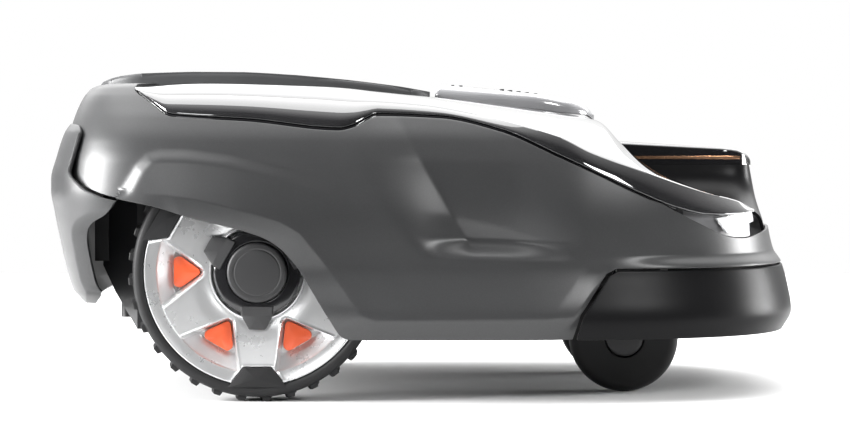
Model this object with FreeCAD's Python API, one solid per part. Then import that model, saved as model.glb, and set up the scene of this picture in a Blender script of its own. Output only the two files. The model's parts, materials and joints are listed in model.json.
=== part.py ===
"""Robotic lawn mower, modelled as separate sub-parts in millimetres.

Frame: origin on the ground under the middle of the mower, +X towards the nose, +Y to the mower's left, +Z up.
Each sub-part is written to parts/NAME.step. The floating body shell and its covers are thin panels whose outer
surface comes from hull(): a stack of superellipse rings. Everything else is turned, extruded or lofted.
"""
import FreeCAD
import Part
import math
import os

V = FreeCAD.Vector
OUT = "parts"

# ---- driving dimensions ----
LENGTH = 720.0
HEIGHT = 300.0                # highest point of the hatch
NOSE_X = LENGTH / 2
TAIL_X = -LENGTH / 2
WALL = 3.0                    # moulded shell wall
GAP = 0.3                     # clearance between faces that slide

WHEEL_X, WHEEL_Z = -148.0, 117.0
WHEEL_Y = 221.0               # middle of the tread
TYRE_R, LUG_R, RIM_R = 112.5, 117.0, 101.0
LUGS = 32
LUG_SHIFT = 2.5               # degrees between the tread pattern and the rim
CAP_R = 28.0
AXLE_R = 7.0
AXLE_END_Y = 120.0            # inner end of the drive shaft
BORE = 0.05                   # radial clearance of a shaft in its bearing
NOSE_R = 23.5                 # gearbox nose through the tub wall

CASTER_X, CASTER_R, CASTER_Y = 190.0, 51.0, 115.0
SWIVEL_X = 216.0
CASTER_W = 44.0
STUB_R = 6.0
PIN_R = 8.0
BRIDGE_TOP = 115.7

BLADE_Z = 60.0                # blade plane at rest, the top of the lift travel
DISC_X = 5.0
DISC_R = 104.0
BLADE_PIVOT_R = 96.0
BLADES = 3

XM = 20.0                     # station where the front and rear halves of each ring meet


# ---- curves and interpolation ----
def curve(points, x):
    """Smooth monotone interpolation through (x, value) points, flat past both ends."""
    if x <= points[0][0]:
        return points[0][1]
    if x >= points[-1][0]:
        return points[-1][1]
    n = len(points)
    h = [points[i + 1][0] - points[i][0] for i in range(n - 1)]
    d = [(points[i + 1][1] - points[i][1]) / h[i] for i in range(n - 1)]
    m = [d[0]] + [0.0] * (n - 2) + [d[-1]]
    for i in range(1, n - 1):
        if d[i - 1] * d[i] > 0:
            m[i] = 2 * d[i - 1] * d[i] / (d[i - 1] + d[i])
    i = max(k for k in range(n - 1) if points[k][0] <= x)
    s = (x - points[i][0]) / h[i]
    return (points[i][1] * (1 + 2 * s) * (1 - s) ** 2 + h[i] * m[i] * s * (1 - s) ** 2
            + points[i + 1][1] * s * s * (3 - 2 * s) - h[i] * m[i + 1] * s * s * (1 - s))


def straight(points, x):
    """Height of a polyline of (x, height) points."""
    for (ax, az), (bx, bz) in zip(points, points[1:]):
        if x <= bx:
            return az + (bz - az) * (x - ax) / (bx - ax)
    return points[-1][1]


def step(low, high, x):
    """0 below low, 1 above high, smooth between."""
    s = min(1.0, max(0.0, (x - low) / (high - low)))
    return s * s * (3 - 2 * s)


# Hull rings: where the ring crosses the centre line at the nose and tail, and its half width, by height.
NOSE = [(57, 352), (75, NOSE_X), (100, 356), (121, 349), (132, 341), (152, 335), (196, 327), (219, 322), (290, 300)]
TAIL = [(57, -322), (80, -330), (130, -339), (200, -337), (245, -329), (270, -321), (290, -309)]
HALF = [(57, 273), (76, 275), (124, 265), (168, 267), (215, 262), (235, 255), (256, 241), (270, 229), (290, 211)]
NOSE_N, TAIL_N = 3.0, 6.0

# Side-view lines of the shell, as (x, z).
SEAM = [(-262, 284), (-246, 273), (-226, 260.5), (-155, 256), (-74, 248), (-62, 250.5), (-38, 261), (17, 259),
        (71, 247), (125, 223), (162, 206), (198, 189), (234, 175), (262, 169), (290, 168), (312, 172)]
LIP = [(215, 180), (234, 170.5), (255, 160), (284, 147.5), (299, 146), (314, 149), (336, 156)]
ARCH = [(-322, 198), (-298, 184.5), (-266, 175.5), (-242, 169.5), (-197, 154.5), (-153, 138.5), (-131, 125),
        (-110, 106), (-90, 80), (-72, 61.5), (-62, 57.5)]
FENDER = [(-264, 190), (-252, 219), (-236, 228), (-200, 231), (-150, 226), (-117, 219), (-82, 207), (-55, 182),
          (-32, 158), (-10, 130)]
SCALLOP = [(-25, 168), (33, 165), (81, 157), (122, 141), (170, 124.5)]
BUMPER_TOP = 119.0
BUMPER_BACK = [(144, 57), (145.5, 77), (169, 114.5), (178, BUMPER_TOP)]


def fender_flare(x, z):
    """How far the wheel arch stands out of the hull: it grows from the crease down to the arch edge."""
    if x < -275 or x > 20:
        return 0.0
    edge = curve(ARCH, x)
    crease = curve(FENDER, x)
    fade = step(-275, -250, x) * (1 - step(-70, 0, x))
    down = min(1.0, max(0.0, (crease - z) / max(20.0, crease - edge)))
    return 5.2 * fade * down


def scallop_depth(x, z):
    """The hollow in the flank between the shoulder and the waist line."""
    top = curve(SCALLOP, x)
    inside = step(top + 12, top - 6, z) * step(118, 128, z)
    return 6.0 * inside * step(-60, 10, x) * (1 - step(140, 185, x))


def ring_point(angle, z, middle, front, rear, half, front_n, rear_n):
    """Point of a superellipse ring on the mower's right, at a polar angle of 0 at the nose to pi at the tail."""
    c, s = math.cos(angle), max(0.0, math.sin(angle))
    reach, n = (front, front_n) if c >= 0 else (rear, rear_n)
    r = ((abs(c) / reach) ** n + (s / half) ** n) ** (-1 / n)
    return V(middle + r * c, -r * s if s > 1e-9 else 0.0, z)


def hull(angle, z, inset=0.0):
    """Point of the right half of the hull at a polar angle and height; inset shrinks the ring in plan."""
    front, rear, half = curve(NOSE, z) - XM, XM - curve(TAIL, z), curve(HALF, z)
    p = ring_point(angle, z, XM, front - inset, rear - inset, half - inset, NOSE_N, TAIL_N)
    if inset == 0 and p.y < 0:
        p.y -= fender_flare(p.x, z) - scallop_depth(p.x, z)
    return p


def half_width(x, z):
    """Half width of the hull at side-view point (x, z)."""
    n = NOSE_N if x >= XM else TAIL_N
    reach = curve(NOSE, z) - XM if x >= XM else XM - curve(TAIL, z)
    share = min(1.0, abs(x - XM) / reach)
    base = curve(HALF, z) * max(0.0, 1 - share ** n) ** (1 / n)
    return base + fender_flare(x, z) - scallop_depth(x, z)


# ---- solids ----
def box(x0, x1, y0, y1, z0, z1):
    return Part.makeBox(x1 - x0, y1 - y0, z1 - z0, V(x0, y0, z0))


def cyl(r, x, y, z0, z1):
    return Part.makeCylinder(r, z1 - z0, V(x, y, z0), V(0, 0, 1))


def ycyl(r, x, z, y0, y1):
    return Part.makeCylinder(r, y1 - y0, V(x, y0, z), V(0, 1, 0))


def mirror(shape):
    return shape.mirror(V(0, 0, 0), V(0, 1, 0))


def both(shape):
    return Part.makeCompound([shape, mirror(shape)])


def polygon(points, plane="xz"):
    """Closed face through 2D points in the side view (xz) or the plan view (xy)."""
    if plane == "xz":
        verts = [V(a, 0, b) for a, b in points]
    else:
        verts = [V(a, b, 0) for a, b in points]
    return Part.Face(Part.makePolygon(verts + verts[:1]))


def side_prism(points, y0, y1):
    """Side-view outline extruded across the mower from y0 to y1."""
    face = polygon(points)
    face.translate(V(0, y0, 0))
    return face.extrude(V(0, y1 - y0, 0))


def plan_prism(points, z0, z1):
    face = polygon(points, "xy")
    face.translate(V(0, 0, z0))
    return face.extrude(V(0, 0, z1 - z0))


def smooth_prism(points, close, y0, y1):
    """Prism under or over a smooth side-view line; close is the list of corners that closes the outline."""
    line = Part.BSplineCurve()
    line.interpolate([V(a, y0, b) for a, b in points])
    corners = [points[-1]] + close + [points[0]]
    edges = [line.toShape()]
    edges += [Part.makeLine(V(a[0], y0, a[1]), V(b[0], y0, b[1])) for a, b in zip(corners, corners[1:])]
    return Part.Face(Part.Wire(edges)).extrude(V(0, y1 - y0, 0))


def sampled(line, x0, x1, count, shift=0.0):
    """Points along a side-view line, for a smooth prism."""
    xs = [x0 + (x1 - x0) * i / (count - 1) for i in range(count)]
    return [(x, curve(line, x) + shift) for x in xs]


def offset_grid(grid, depth, flat_ends=False):
    """The grid moved inwards along its own normals; flat_ends keeps the first and last rows in the plane y = 0."""
    rows, cols = len(grid), len(grid[0])
    made = []
    for i in range(rows):
        row = []
        for j in range(cols):
            du = grid[min(i + 1, rows - 1)][j] - grid[max(i - 1, 0)][j]
            dv = grid[i][min(j + 1, cols - 1)] - grid[i][max(j - 1, 0)]
            normal = du.cross(dv)
            normal.normalize()
            if flat_ends and i in (0, rows - 1):
                normal.y = 0
                normal.normalize()
            row.append(grid[i][j] + normal * depth)
        made.append(row)
    return made


def skin(grid):
    surface = Part.BSplineSurface()
    surface.interpolate(grid)
    return surface


def edge_strip(curve_a, curve_b):
    return Part.makeRuledSurface(curve_a.toShape(), curve_b.toShape())


def panel(grid, depth, flat_ends=False):
    """Closed solid between a grid's smooth surface and the same surface moved by depth along its normals."""
    outer = skin(grid)
    inner = skin(offset_grid(grid, depth, flat_ends))
    u0, u1, v0, v1 = outer.bounds()
    iu0, iu1, iv0, iv1 = inner.bounds()
    faces = [outer.toShape(), inner.toShape()]
    for a, b in ((u0, iu0), (u1, iu1)):
        faces.append(edge_strip(outer.uIso(a), inner.uIso(b)))
    for a, b in ((v0, iv0), (v1, iv1)):
        faces.append(edge_strip(outer.vIso(a), inner.vIso(b)))
    shell = Part.makeShell(faces)
    shell.sewShape()
    solid = Part.makeSolid(shell)
    if solid.Volume < 0:
        solid.reverse()
    return solid


def save(name, shape):
    solids = shape.Solids
    if not solids:
        raise ValueError(name + " holds no solid")
    bad = [s for s in solids if not s.isValid() or s.Volume <= 0]
    print("%-24s solids %2d  volume %8.1f cm3%s" % (name, len(solids), sum(s.Volume for s in solids) / 1000,
                                                   "  NOT VALID" if bad else ""))
    shape = solids[0] if len(solids) == 1 else Part.makeCompound(solids)
    shape.exportStep(os.path.join(OUT, name + ".step"))


# ---- floating shell ----
RING_ANGLES = [math.pi * i / 64 for i in range(65)]


def hull_ring(levels, depth=WALL):
    """Right half of the hull wall; each level is (height, inset)."""
    return panel([[hull(a, z, inset) for z, inset in levels] for a in RING_ANGLES], depth, flat_ends=True)


BUMPER_LEVELS = [(z, 0) for z in (57, 62, 68, 76, 86, 98, 108, 114, BUMPER_TOP)]
SHELL_LEVELS = [(z, 0) for z in (57, 66, 76, 90, 106, 120, 126, 134, 146, 158, 170, 185, 200, 215, 230, 244, 256, 268,
                                 278)]
ROOF_LEVELS = [(284, 1.5), (287, 6), (288.3, 14), (288.8, 28), (289, 50), (289, 75), (288.5, 98)]
SEAM_GAP = 2.5


def body_shell():
    """Moulded flank, nose and tail in one wall, cut to the wheel arches, the seam, the front lip and the bumper."""
    ring = hull_ring(SHELL_LEVELS + ROOF_LEVELS)
    below = smooth_prism(ARCH, [(-62, 20), (-420, 20), (-420, 215)], -320, 320)
    tail_cut = side_prism([(-420, 20), (-420, 205), (-322, 198), (-322, 20)], -320, 320)
    above = sampled(SEAM, -262, 205, 60, -SEAM_GAP)
    lip = sampled(LIP, 236, 336, 20)
    roof = side_prism([(-262, 400)] + above + lip + [(420, 158), (420, 400)], -320, 320)
    hatch_bay = box(-310, 60, -HATCH_BAY_Y, HATCH_BAY_Y, 230, 320)
    nose_cut = side_prism([(p[0] - 2, p[1] + 2) for p in BUMPER_BACK] + [(420, BUMPER_TOP + 2), (420, 20), (142, 20)],
                          -320, 320)
    half = ring.cut(below).cut(tail_cut).cut(roof).cut(nose_cut).cut(hatch_bay)
    return half.fuse(mirror(half)).removeSplitter()


def front_bumper():
    ring = hull_ring(BUMPER_LEVELS, 4.0)
    keep = side_prism(BUMPER_BACK + [(420, BUMPER_TOP + 5), (420, 20), (144, 20)], -320, 320)
    half = ring.common(keep)
    return half.fuse(mirror(half)).removeSplitter()


APRON_TAIL = [(80, -332), (94, -343), (128, -352.7), (167, -357), (190, TAIL_X), (221, -350), (246, -338)]
APRON_HALF = [(80, 252), (130, 262), (190, 269), (246, 257)]
APRON_WALL = 4.0


def apron_point(angle, z):
    """Rear apron: a proud band round the tail, from the grip edge at its foot up to the shell's shoulder."""
    rear, half = XM - curve(APRON_TAIL, z), curve(APRON_HALF, z)
    return ring_point(angle, z, XM, rear, rear, half, TAIL_N, TAIL_N)


def rear_apron():
    """Proud band round the tail that hangs behind the wheels; its lower edge is the carrying grip."""
    start = math.radians(130)
    angles = [start + (math.pi - start) * i / 36 for i in range(37)]
    levels = [80, 88, 98, 112, 130, 150, 170, 190, 208, 226, 240]
    band = panel([[apron_point(a, z) for z in levels] for a in angles], APRON_WALL)
    top = side_prism([(-420, 252), (-352, 243), (-330, 200), (-322, 195.5), (-298, 182), (-274, 173), (-100, 120),
                      (-100, 300), (-420, 300)], -320, 320)
    front = side_prism([(-274, 400), (-274, 171), (-283, 162), (-297, 152), (-302, 137), (-300, 110), (-297, 96),
                        (-309, 79), (-309, 20), (20, 20), (20, 400)], -320, 320)
    centre_plane = box(-420, 20, 0, 20, 20, 400)
    half = band.cut(top).cut(front).cut(centre_plane)
    return half.fuse(mirror(half)).removeSplitter()


# Wing covers: rails of the outer seam, the crest and the inner edge.
INNER_Y = [(-262, 128), (-100, 125), (0, 114), (60, 88), (168, 74), (200, 66), (240, 68), (270, 80), (300, 106)]
INNER_Z = [(-262, 285), (-200, 288), (-100, 285), (0, 277), (60, 271), (130, 262), (168, 254), (185, 236), (205, 216),
           (240, 196), (270, 182), (300, 168)]
CREST_Z = [(-262, 286), (-200, 288), (-100, 285), (0, 277), (60, 271), (130, 264.5), (166, 260), (212, 236), (259, 206),
           (296, 184), (312, 172)]


def wing_point(u, v):
    """u runs along the mower from the tail end to the tip, v from the outer seam to the inner edge."""
    xa = -262 + (312 + 262) * u
    xb = -262 + (300 + 262) * u
    za = curve(SEAM, xa)
    ya = half_width(xa, za)
    zb = curve(INNER_Z, xb)
    yb = curve(INNER_Y, xb)
    crest = curve(CREST_Z, (xa + xb) / 2)
    high = (crest - 0.125 * (za + zb)) / 0.75
    za2 = za + 0.75 * max(high - za, 0.0)
    zb2 = max(zb, high)
    a = (ya, za)
    p = (ya - 4, za2)
    q = (yb + 0.45 * (ya - yb), zb2)
    b = (yb, zb)
    w = (1 - v) ** 3, 3 * v * (1 - v) ** 2, 3 * v * v * (1 - v), v ** 3
    y = w[0] * a[0] + w[1] * p[0] + w[2] * q[0] + w[3] * b[0]
    z = w[0] * a[1] + w[1] * p[1] + w[2] * q[1] + w[3] * b[1]
    return V(xa + (xb - xa) * v, -y, z)


DECK_TOP = [(-286, 274.5), (-200, 278), (0, 268), (60, 262), (120, 255), (168, 246), (177.5, 236)]
WING_SCREWS = [(-230, 132), (-120, 130), (-20, 124)]
DECK_ARMS = [(-214, 130), (20, 104), (120, 66)]   # where each arm leaves the deck's right edge


def wing_cover():
    """Glossy right cover, with a screw boss over each of the deck's screw holes."""
    us = [i / 60 for i in range(61)]
    vs = [j / 12 for j in range(13)]
    cover = panel([[wing_point(u, v) for v in vs] for u in us], -WALL)
    for x, y in WING_SCREWS:
        deck = straight(DECK_TOP, x)
        boss = cyl(5, x, -y, deck + 0.6, curve(INNER_Z, x) - 1.2).cut(cyl(SCREW_R, x, -y, deck - 1, deck + 6))
        cover = cover.fuse(boss)
    return cover


PEDESTAL_TOP = 212.0
PEDESTAL_X = 250.0
PEDESTAL_HALF = [(150, 196), (160, 176), (168, 140), (178, 96), (190, 70), (202, 60), (214, 57)]
PEDESTAL_BACK = [(150, 120), (190, 150), (214, 176)]


def pedestal_point(angle, z):
    """Nose pedestal between the wing tips: wide at its foot, straight-sided under the charging cap."""
    n = curve([(150, 3), (190, 4), (214, 6)], z)
    front, back = curve(NOSE, z) - 7 - PEDESTAL_X, PEDESTAL_X - curve(PEDESTAL_BACK, z)
    return ring_point(angle, z, PEDESTAL_X, front, back, curve(PEDESTAL_HALF, z), n, n)


def nose_pedestal():
    angles = [math.pi * i / 40 for i in range(41)]
    levels = [150, 154, 160, 168, 178, 190, 202, PEDESTAL_TOP]
    half = panel([[pedestal_point(a, z) for z in levels] for a in angles], WALL, flat_ends=True)
    half = half.cut(box(60, 185, -320, 320, 100, 300))
    between = [(185, curve(INNER_Y, 185) - 1.5)] + [(x, curve(INNER_Y, x) - 1.5) for x in range(195, 301, 15)]
    between.append((340, curve(INNER_Y, 300)))
    half = half.common(plan_prism([(x, -y) for x, y in between] + [(340, 0), (185, 0)], 100, 300))
    return half.fuse(mirror(half)).removeSplitter()


def charging_cap():
    """Flat cap on the pedestal that carries the contact strips."""
    foot = PEDESTAL_TOP
    side = side_prism([(178, foot), (178, 233), (192, 233), (219, 231), (267, 227), (305, 223), (315, 219.5),
                       (319, foot)], -57, 57)
    hollow = side_prism([(182, 211), (182, 229), (219, 227), (267, 223), (304, 219.5), (312, 211)], -51, 51)
    plan = plan_prism([(178, -57), (292, -57), (308, -50), (319, -34), (319, 34), (308, 50), (292, 57), (178, 57)],
                      200, 240)
    grooves = Part.makeCompound([box(205, 296, s * 57 - 2, s * 57 + 2, 215, 222) for s in (-1, 1)])
    return side.common(plan).cut(hollow).cut(grooves)


def charging_strips():
    return both(box(206, 295, -56.8, -55.2, 215.2, 221.8))


POSTS = [(-225, 92), (130, 56)]           # right and left post pairs that carry the floating shell
STOP_X = 90.0                             # stem of the stop button
STEM_R = 7.0
CUP_FLOOR = 229.0
SCREW_R = 2.0
HATCH_BAY_Y = 126.0
HATCH_HINGE = (-297.0, 279.0)
HINGE_PIN_R = 2.0
EARS = [-62.0, 50.0]                      # right face of each hatch ear
EAR_W = 12.0


def deck_arm(x, y_deck):
    """Inclined arm from the deck's right edge to the inside of the flank."""
    seat = curve(SEAM, x) - 17
    high_edge, low_edge = (half_width(x, z) - 1.6 * WALL for z in (seat + 6, seat - 6))
    top = straight(DECK_TOP, x) - 0.5
    face = Part.makePolygon([V(x - 4, -a, b) for a, b in
                             ((y_deck, top - 12), (y_deck, top), (y_deck + 14, top - 2), (high_edge, seat + 6),
                              (low_edge, seat - 6), (y_deck + 14, top - 16), (y_deck, top - 12))])
    return Part.Face(face).extrude(V(8, 0, 0))


def top_deck():
    """Structural deck: open over the control panel, with post feet, arms to the flanks and the stop button's cup."""
    plate = side_prism(DECK_TOP + [(x, z - WALL) for x, z in reversed(DECK_TOP)], -140, 140)
    outline = plan_prism([(-286, -122), (-262, -138), (-20, -130), (40, -98), (70, -80), (168, -66), (177.5, -62),
                          (177.5, 62), (168, 66), (70, 80), (40, 98), (-20, 130), (-262, 138), (-286, 122)], 200, 300)
    deck = plate.common(outline).cut(box(-205, 10, -98, 98, 200, 300))
    under = side_prism([(-300, 200)] + [(x, z - 1) for x, z in DECK_TOP] + [(177.5, 200)], -140, 140)
    wall = box(-208, 13, -101, 101, 240, 280).cut(box(-205, 10, -98, 98, 230, 300)).common(under)
    deck = deck.fuse(wall)
    for x, y in POSTS:
        foot = cyl(8, x, -y, 215 + GAP, 300).common(under)
        deck = deck.fuse([foot, mirror(foot)])
    for x, y in DECK_ARMS:
        arm = deck_arm(x, y)
        deck = deck.fuse([arm, mirror(arm)])
    cup = cyl(11, STOP_X, 0, CUP_FLOOR - 3, 300).common(under)
    deck = deck.fuse(cup).cut(cyl(STEM_R + BORE, STOP_X, 0, CUP_FLOOR, 300))
    hx, hz = HATCH_HINGE
    for y in EARS:
        for y0 in (y - 9, y + EAR_W + 1):
            lug = ycyl(4.2, hx, hz, y0, y0 + 8)
            lug = lug.fuse(side_prism([(hx, hz + 4.2), (-284, 274), (-284, 271), (hx, hz - 4.2)], y0, y0 + 8))
            deck = deck.fuse(lug)
    deck = deck.cut(ycyl(HINGE_PIN_R, hx, hz, -80, 80))
    for x, y in WING_SCREWS:
        for side in (-1, 1):
            deck = deck.cut(cyl(SCREW_R, x, side * y, 200, 300))
    return deck.removeSplitter()


def shell_screws():
    """Screws that hold the wing covers to the deck, heads underneath."""
    screws = []
    for x, y in WING_SCREWS:
        under = straight(DECK_TOP, x) - WALL - 0.4
        screw = cyl(SCREW_R, x, -y, under, under + 8).fuse(cyl(3.8, x, -y, under - 2.4, under))
        screws += [screw, mirror(screw)]
    return Part.makeCompound(screws)


def wing_seals():
    """Dark gasket in the joint between the flank and the wing cover."""
    rows = []
    for i in range(61):
        x = -222 + (228 + 222) * i / 60
        z = curve(SEAM, x)
        rows.append([V(x, -(half_width(x, z + dz) - 6.6), z + dz) for dz in (-7.6, -6.2, -4.8)])
    return both(panel(rows, 1.8))


HATCH_TOP = [(-306, 285), (-300, 291), (-283, 296), (-262, 298.5), (-214, HEIGHT), (-166, 299.7), (-118, 297),
             (-69, 292.5), (-21, 286.5), (8, 281.5)]
HATCH_FOOT = [(8, 272), (-100, 283), (-200, 286), (-262, 284), (-306, 281)]
HATCH_PLAN = [(-306, -92), (-292, -112), (-262, -122), (-100, -119), (-10, -110), (8, -96)]


def inset_plan(points, inset):
    """Mirror-symmetric plan outline from its right half, moved in on every side."""
    right = [(x + inset if x < -290 else x - inset if x > 0 else x, y + inset) for x, y in points]
    return right + [(x, -y) for x, y in reversed(right)]


def hatch_cover():
    """Lift-up cover over the display and keys, hinged at its tail end."""
    block = side_prism(HATCH_TOP + HATCH_FOOT, -122, 122).common(plan_prism(inset_plan(HATCH_PLAN, 0), 240, 320))
    inner = side_prism([(x, z - WALL) for x, z in HATCH_TOP[1:]] + [(8, 260), (-303, 260)], -122, 122)
    inner = inner.common(plan_prism(inset_plan(HATCH_PLAN, 4), 240, 320))
    cover = block.cut(inner)
    hx, hz = HATCH_HINGE
    for y in EARS:
        ear = ycyl(5.5, hx, hz, y, y + EAR_W).fuse(box(hx - 5, hx + 5, y, y + EAR_W, hz, 290))
        for lug_y in (y - 9, y + EAR_W + 1):
            cover = cover.cut(ycyl(6.5, hx, hz, lug_y - 0.5, lug_y + 8.5))
        cover = cover.fuse(ear)
    cover = cover.cut(ycyl(HINGE_PIN_R + BORE, hx, hz, -80, 80))
    return cover.removeSplitter()


def hatch_hinge_pin():
    hx, hz = HATCH_HINGE
    return ycyl(HINGE_PIN_R, hx, hz, -72, 72).fuse(ycyl(3.5, hx, hz, -74, -72))


STOP_TOP = [(13, 279), (18, 283.5), (27, 285.5), (51, 282.5), (75, 279.5), (112, 274.5), (149, 269.8), (161, 267.6),
            (168, 263)]


def stop_button():
    """Long paddle with a rounded front end; its guide stem slides in the deck's cup."""
    side = side_prism(STOP_TOP + [(167, 259.5), (149, 260.5), (51, 272.5), (13, 274.5)], -60, 60)
    plan = plan_prism([(13, -58), (120, -54), (146, -46), (161, -30), (168, -12), (168, 12), (161, 30), (146, 46),
                       (120, 54), (13, 58)], 200, 320)
    stem = cyl(STEM_R, STOP_X, 0, CUP_FLOOR + 17, 272)
    return side.common(plan).fuse(stem).removeSplitter()


def stop_spring():
    """Compression spring under the stem of the stop button."""
    wire, radius, turns = 0.8, 5.0, 5
    low, high = CUP_FLOOR + wire, CUP_FLOOR + 17 - wire
    helix = Part.makeHelix((high - low) / turns, high - low, radius)
    section = Part.Wire(Part.makeCircle(wire, V(radius, 0, 0), V(0, 1, 0)))
    body = Part.Wire(helix).makePipeShell([section], True, True)
    body.translate(V(STOP_X, 0, low))
    return body


# ---- headlights ----
def headlight_lens():
    """Clear lens under the wing tip, following the hull."""
    rows = []
    for i in range(13):
        x = 272 + (304 - 272) * i / 12
        low, high = 147.5 + (304 - x) * 0.05, curve(SEAM, x) - 3
        zs = [low + (high - low) * k / 4 + 1.5 for k in range(5)]
        rows.append([V(x - 2, -(half_width(x, z) - 6), z) for z in zs])
    return panel(rows, 2.0)


def headlight_housing():
    """Cup behind the lens."""
    rows = []
    for i in range(15):
        x = 240 + (306 - 240) * i / 14
        low, high = curve(LIP, x) + 0.5, curve(SEAM, x) - 1.0
        zs = [low + (high - low) * k / 4 for k in range(5)]
        rows.append([V(x - 3, -(half_width(x, z) - 12), z) for z in zs])
    return panel(rows, 2.0)


# ---- drive wheels ----
def turned(points):
    """Solid of revolution about Z from (r, z) points."""
    verts = [V(r, 0, z) for r, z in points]
    face = Part.Face(Part.makePolygon(verts + verts[:1]))
    return face.revolve(V(0, 0, 0), V(0, 0, 1), 360)


def spun(shape, degrees):
    made = shape.copy()
    made.rotate(V(0, 0, 0), V(0, 0, 1), degrees)
    return made


def loft(low, high):
    """Solid between two closed polygons given as lists of vectors."""
    wires = [Part.makePolygon(p + p[:1]) for p in (low, high)]
    return Part.makeLoft(wires, True, True)


def wedge(points, z):
    return [V(a, b, z) for a, b in points]


NOTCH_ANGLES = [-90, 30, 150]
WINDOW_ANGLES = [0, 60, 120, 180, 240, 300]


WINDOW_MOUTH = [(47, -3), (47, 3), (65, 17), (90, 26), (94, 0), (90, -26), (65, -17)]
WINDOW_FLOOR = [(52, -2.6), (52, 2.6), (69, 14), (74, 12), (75, 0), (74, -12), (69, -14)]


def shrunk(points, inset):
    """Outline of a window pad, smaller than the window's floor by inset."""
    cx = sum(p[0] for p in points) / len(points)
    k = 1 - inset / 12
    return [(cx + (a - cx) * k, b * k) for a, b in points]


def rim():
    """Moulded wheel disc: open barrel, six tapered windows and three notches for the tyre's keys."""
    outer = [(16, -12), (30, -12), (30, 4), (88, 8), (92, -22), (99, -24), (RIM_R, -22), (RIM_R, 17), (98, 20),
             (60, 22), (48, 24), (44, 24), (44, 16), (16, 16)]
    body = turned(outer)
    pocket = loft(wedge(WINDOW_FLOOR, 6.0), wedge(WINDOW_MOUTH, 26.0))
    pad = shrunk(WINDOW_FLOOR, 0.6)
    through = loft(wedge(pad, 0.0), wedge(pad, 8.0))
    for a in WINDOW_ANGLES:
        body = body.cut(spun(pocket, a)).cut(spun(through, a))
    notch = key_block(0.25, 4.0, 30.0)
    for a in NOTCH_ANGLES:
        body = body.cut(spun(notch, a))
    return body


def key_block(grow, z0, z1):
    """Trapezoid key of the tyre, on the local +X side."""
    points = [(87 - grow, -12 - grow), (87 - grow, 12 + grow), (97, 21 + grow), (106, 26 + grow), (106, -26 - grow),
              (97, -21 - grow)]
    return loft(wedge(points, z0), wedge(points, z1))


def tyre():
    profile = [(RIM_R, -23), (106, -25), (110, -23.5), (TYRE_R, -19), (TYRE_R, 18), (110, 22.5), (106, 24),
               (RIM_R, 21)]
    body = turned(profile)
    key = key_block(0.0, 5.0, 21.5)
    for a in NOTCH_ANGLES:
        body = body.fuse(spun(key, a))
    lug = loft(wedge([(TYRE_R - 2, -4.2), (TYRE_R - 2, 4.2), (LUG_R, 3.0), (LUG_R, -3.0)], -18.5),
               wedge([(TYRE_R - 2, -4.2), (TYRE_R - 2, 4.2), (LUG_R, 3.0), (LUG_R, -3.0)], 17.5))
    for i in range(LUGS):
        body = body.fuse(spun(lug, -90 + LUG_SHIFT + 360 * i / LUGS))
    return body


def window_inserts():
    """Six coloured pads that close the windows from behind."""
    outline = shrunk(WINDOW_FLOOR, 0.6)
    pad = loft(wedge(outline, 1.5), wedge(outline, 7.0))
    return Part.makeCompound([spun(pad, a) for a in WINDOW_ANGLES])


def hub_cap():
    """Dark hub with three arms and a raised round centre."""
    body = turned([(0, 16), (43.5, 16), (43.5, 22), (40, 25.5), (CAP_R + 3, 27), (CAP_R + 1, 25.5), (CAP_R, 25.5),
                   (CAP_R - 1, 28.5), (0, 29.5)])
    arm = loft(wedge([(34, -16), (34, 16), (44.2, 11), (51, 7), (51, -7), (44.2, -11)], 24.3),
               wedge([(34, -14), (34, 14), (46, 8), (50, 6), (50, -6), (46, -8)], 28.0))
    for a in NOTCH_ANGLES:
        body = body.fuse(spun(arm, a))
    return body.removeSplitter()


def axle():
    """Drive shaft: runs in the gearbox bore and is keyed into the rim."""
    inner = AXLE_END_Y - WHEEL_Y
    return turned([(0, inner), (AXLE_R, inner), (AXLE_R, -12), (16, -12), (16, 16), (0, 16)])


def to_right_wheel(shape):
    """Local +Z is the outward direction; the local X and Y axes are the side view's x and z."""
    made = shape.copy()
    made.rotate(V(0, 0, 0), V(1, 0, 0), 90)
    made.translate(V(WHEEL_X, -WHEEL_Y, WHEEL_Z))
    return made


# ---- casters ----
def caster_wheel():
    """Barrel-shaped wheel with rounded shoulders and a recessed hub ring, local +Z outward."""
    h = CASTER_W / 2
    profile = [(STUB_R + BORE, -h + 6), (20, -h + 6), (22, -h), (44, -h), (49, -h + 4), (CASTER_R, -h + 12),
               (CASTER_R, h - 12), (49, h - 4), (44, h), (18.4, h), (17.8, h - 1.5), (17.8, h - 5), (STUB_R + BORE, h - 5)]
    return turned(profile)


def caster_cap():
    h = CASTER_W / 2
    return turned([(0, h - 5), (17.8, h - 5), (17.4, h - 0.8), (15, h), (0, h + 0.4)])


def caster_fork():
    """Stub axle, inner arm, bridge over the wheel and swivel pin in one moulding, for the right side."""
    y = -CASTER_Y
    inner = y + CASTER_W / 2 + 1.5
    arm = side_prism([(CASTER_X - 12, 44), (CASTER_X - 6, 38), (CASTER_X + 6, 38), (CASTER_X + 12, 44),
                      (SWIVEL_X + 14, 106), (SWIVEL_X + 14, BRIDGE_TOP), (CASTER_X - 6, BRIDGE_TOP),
                      (CASTER_X - 12, 100)],
                     inner, inner + 8)
    bridge = plan_prism([(CASTER_X - 6, inner + 8), (SWIVEL_X + 14, inner + 8), (SWIVEL_X + 16, y),
                         (SWIVEL_X + 8, y - 14), (SWIVEL_X - 8, y - 14), (CASTER_X - 6, y)], 105, BRIDGE_TOP)
    stub = ycyl(STUB_R, CASTER_X, CASTER_R, y - 16.6, inner + 2)
    pin = cyl(PIN_R, SWIVEL_X, y, 108, 150)
    return arm.fuse(bridge).fuse(stub).fuse(pin).removeSplitter()


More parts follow.
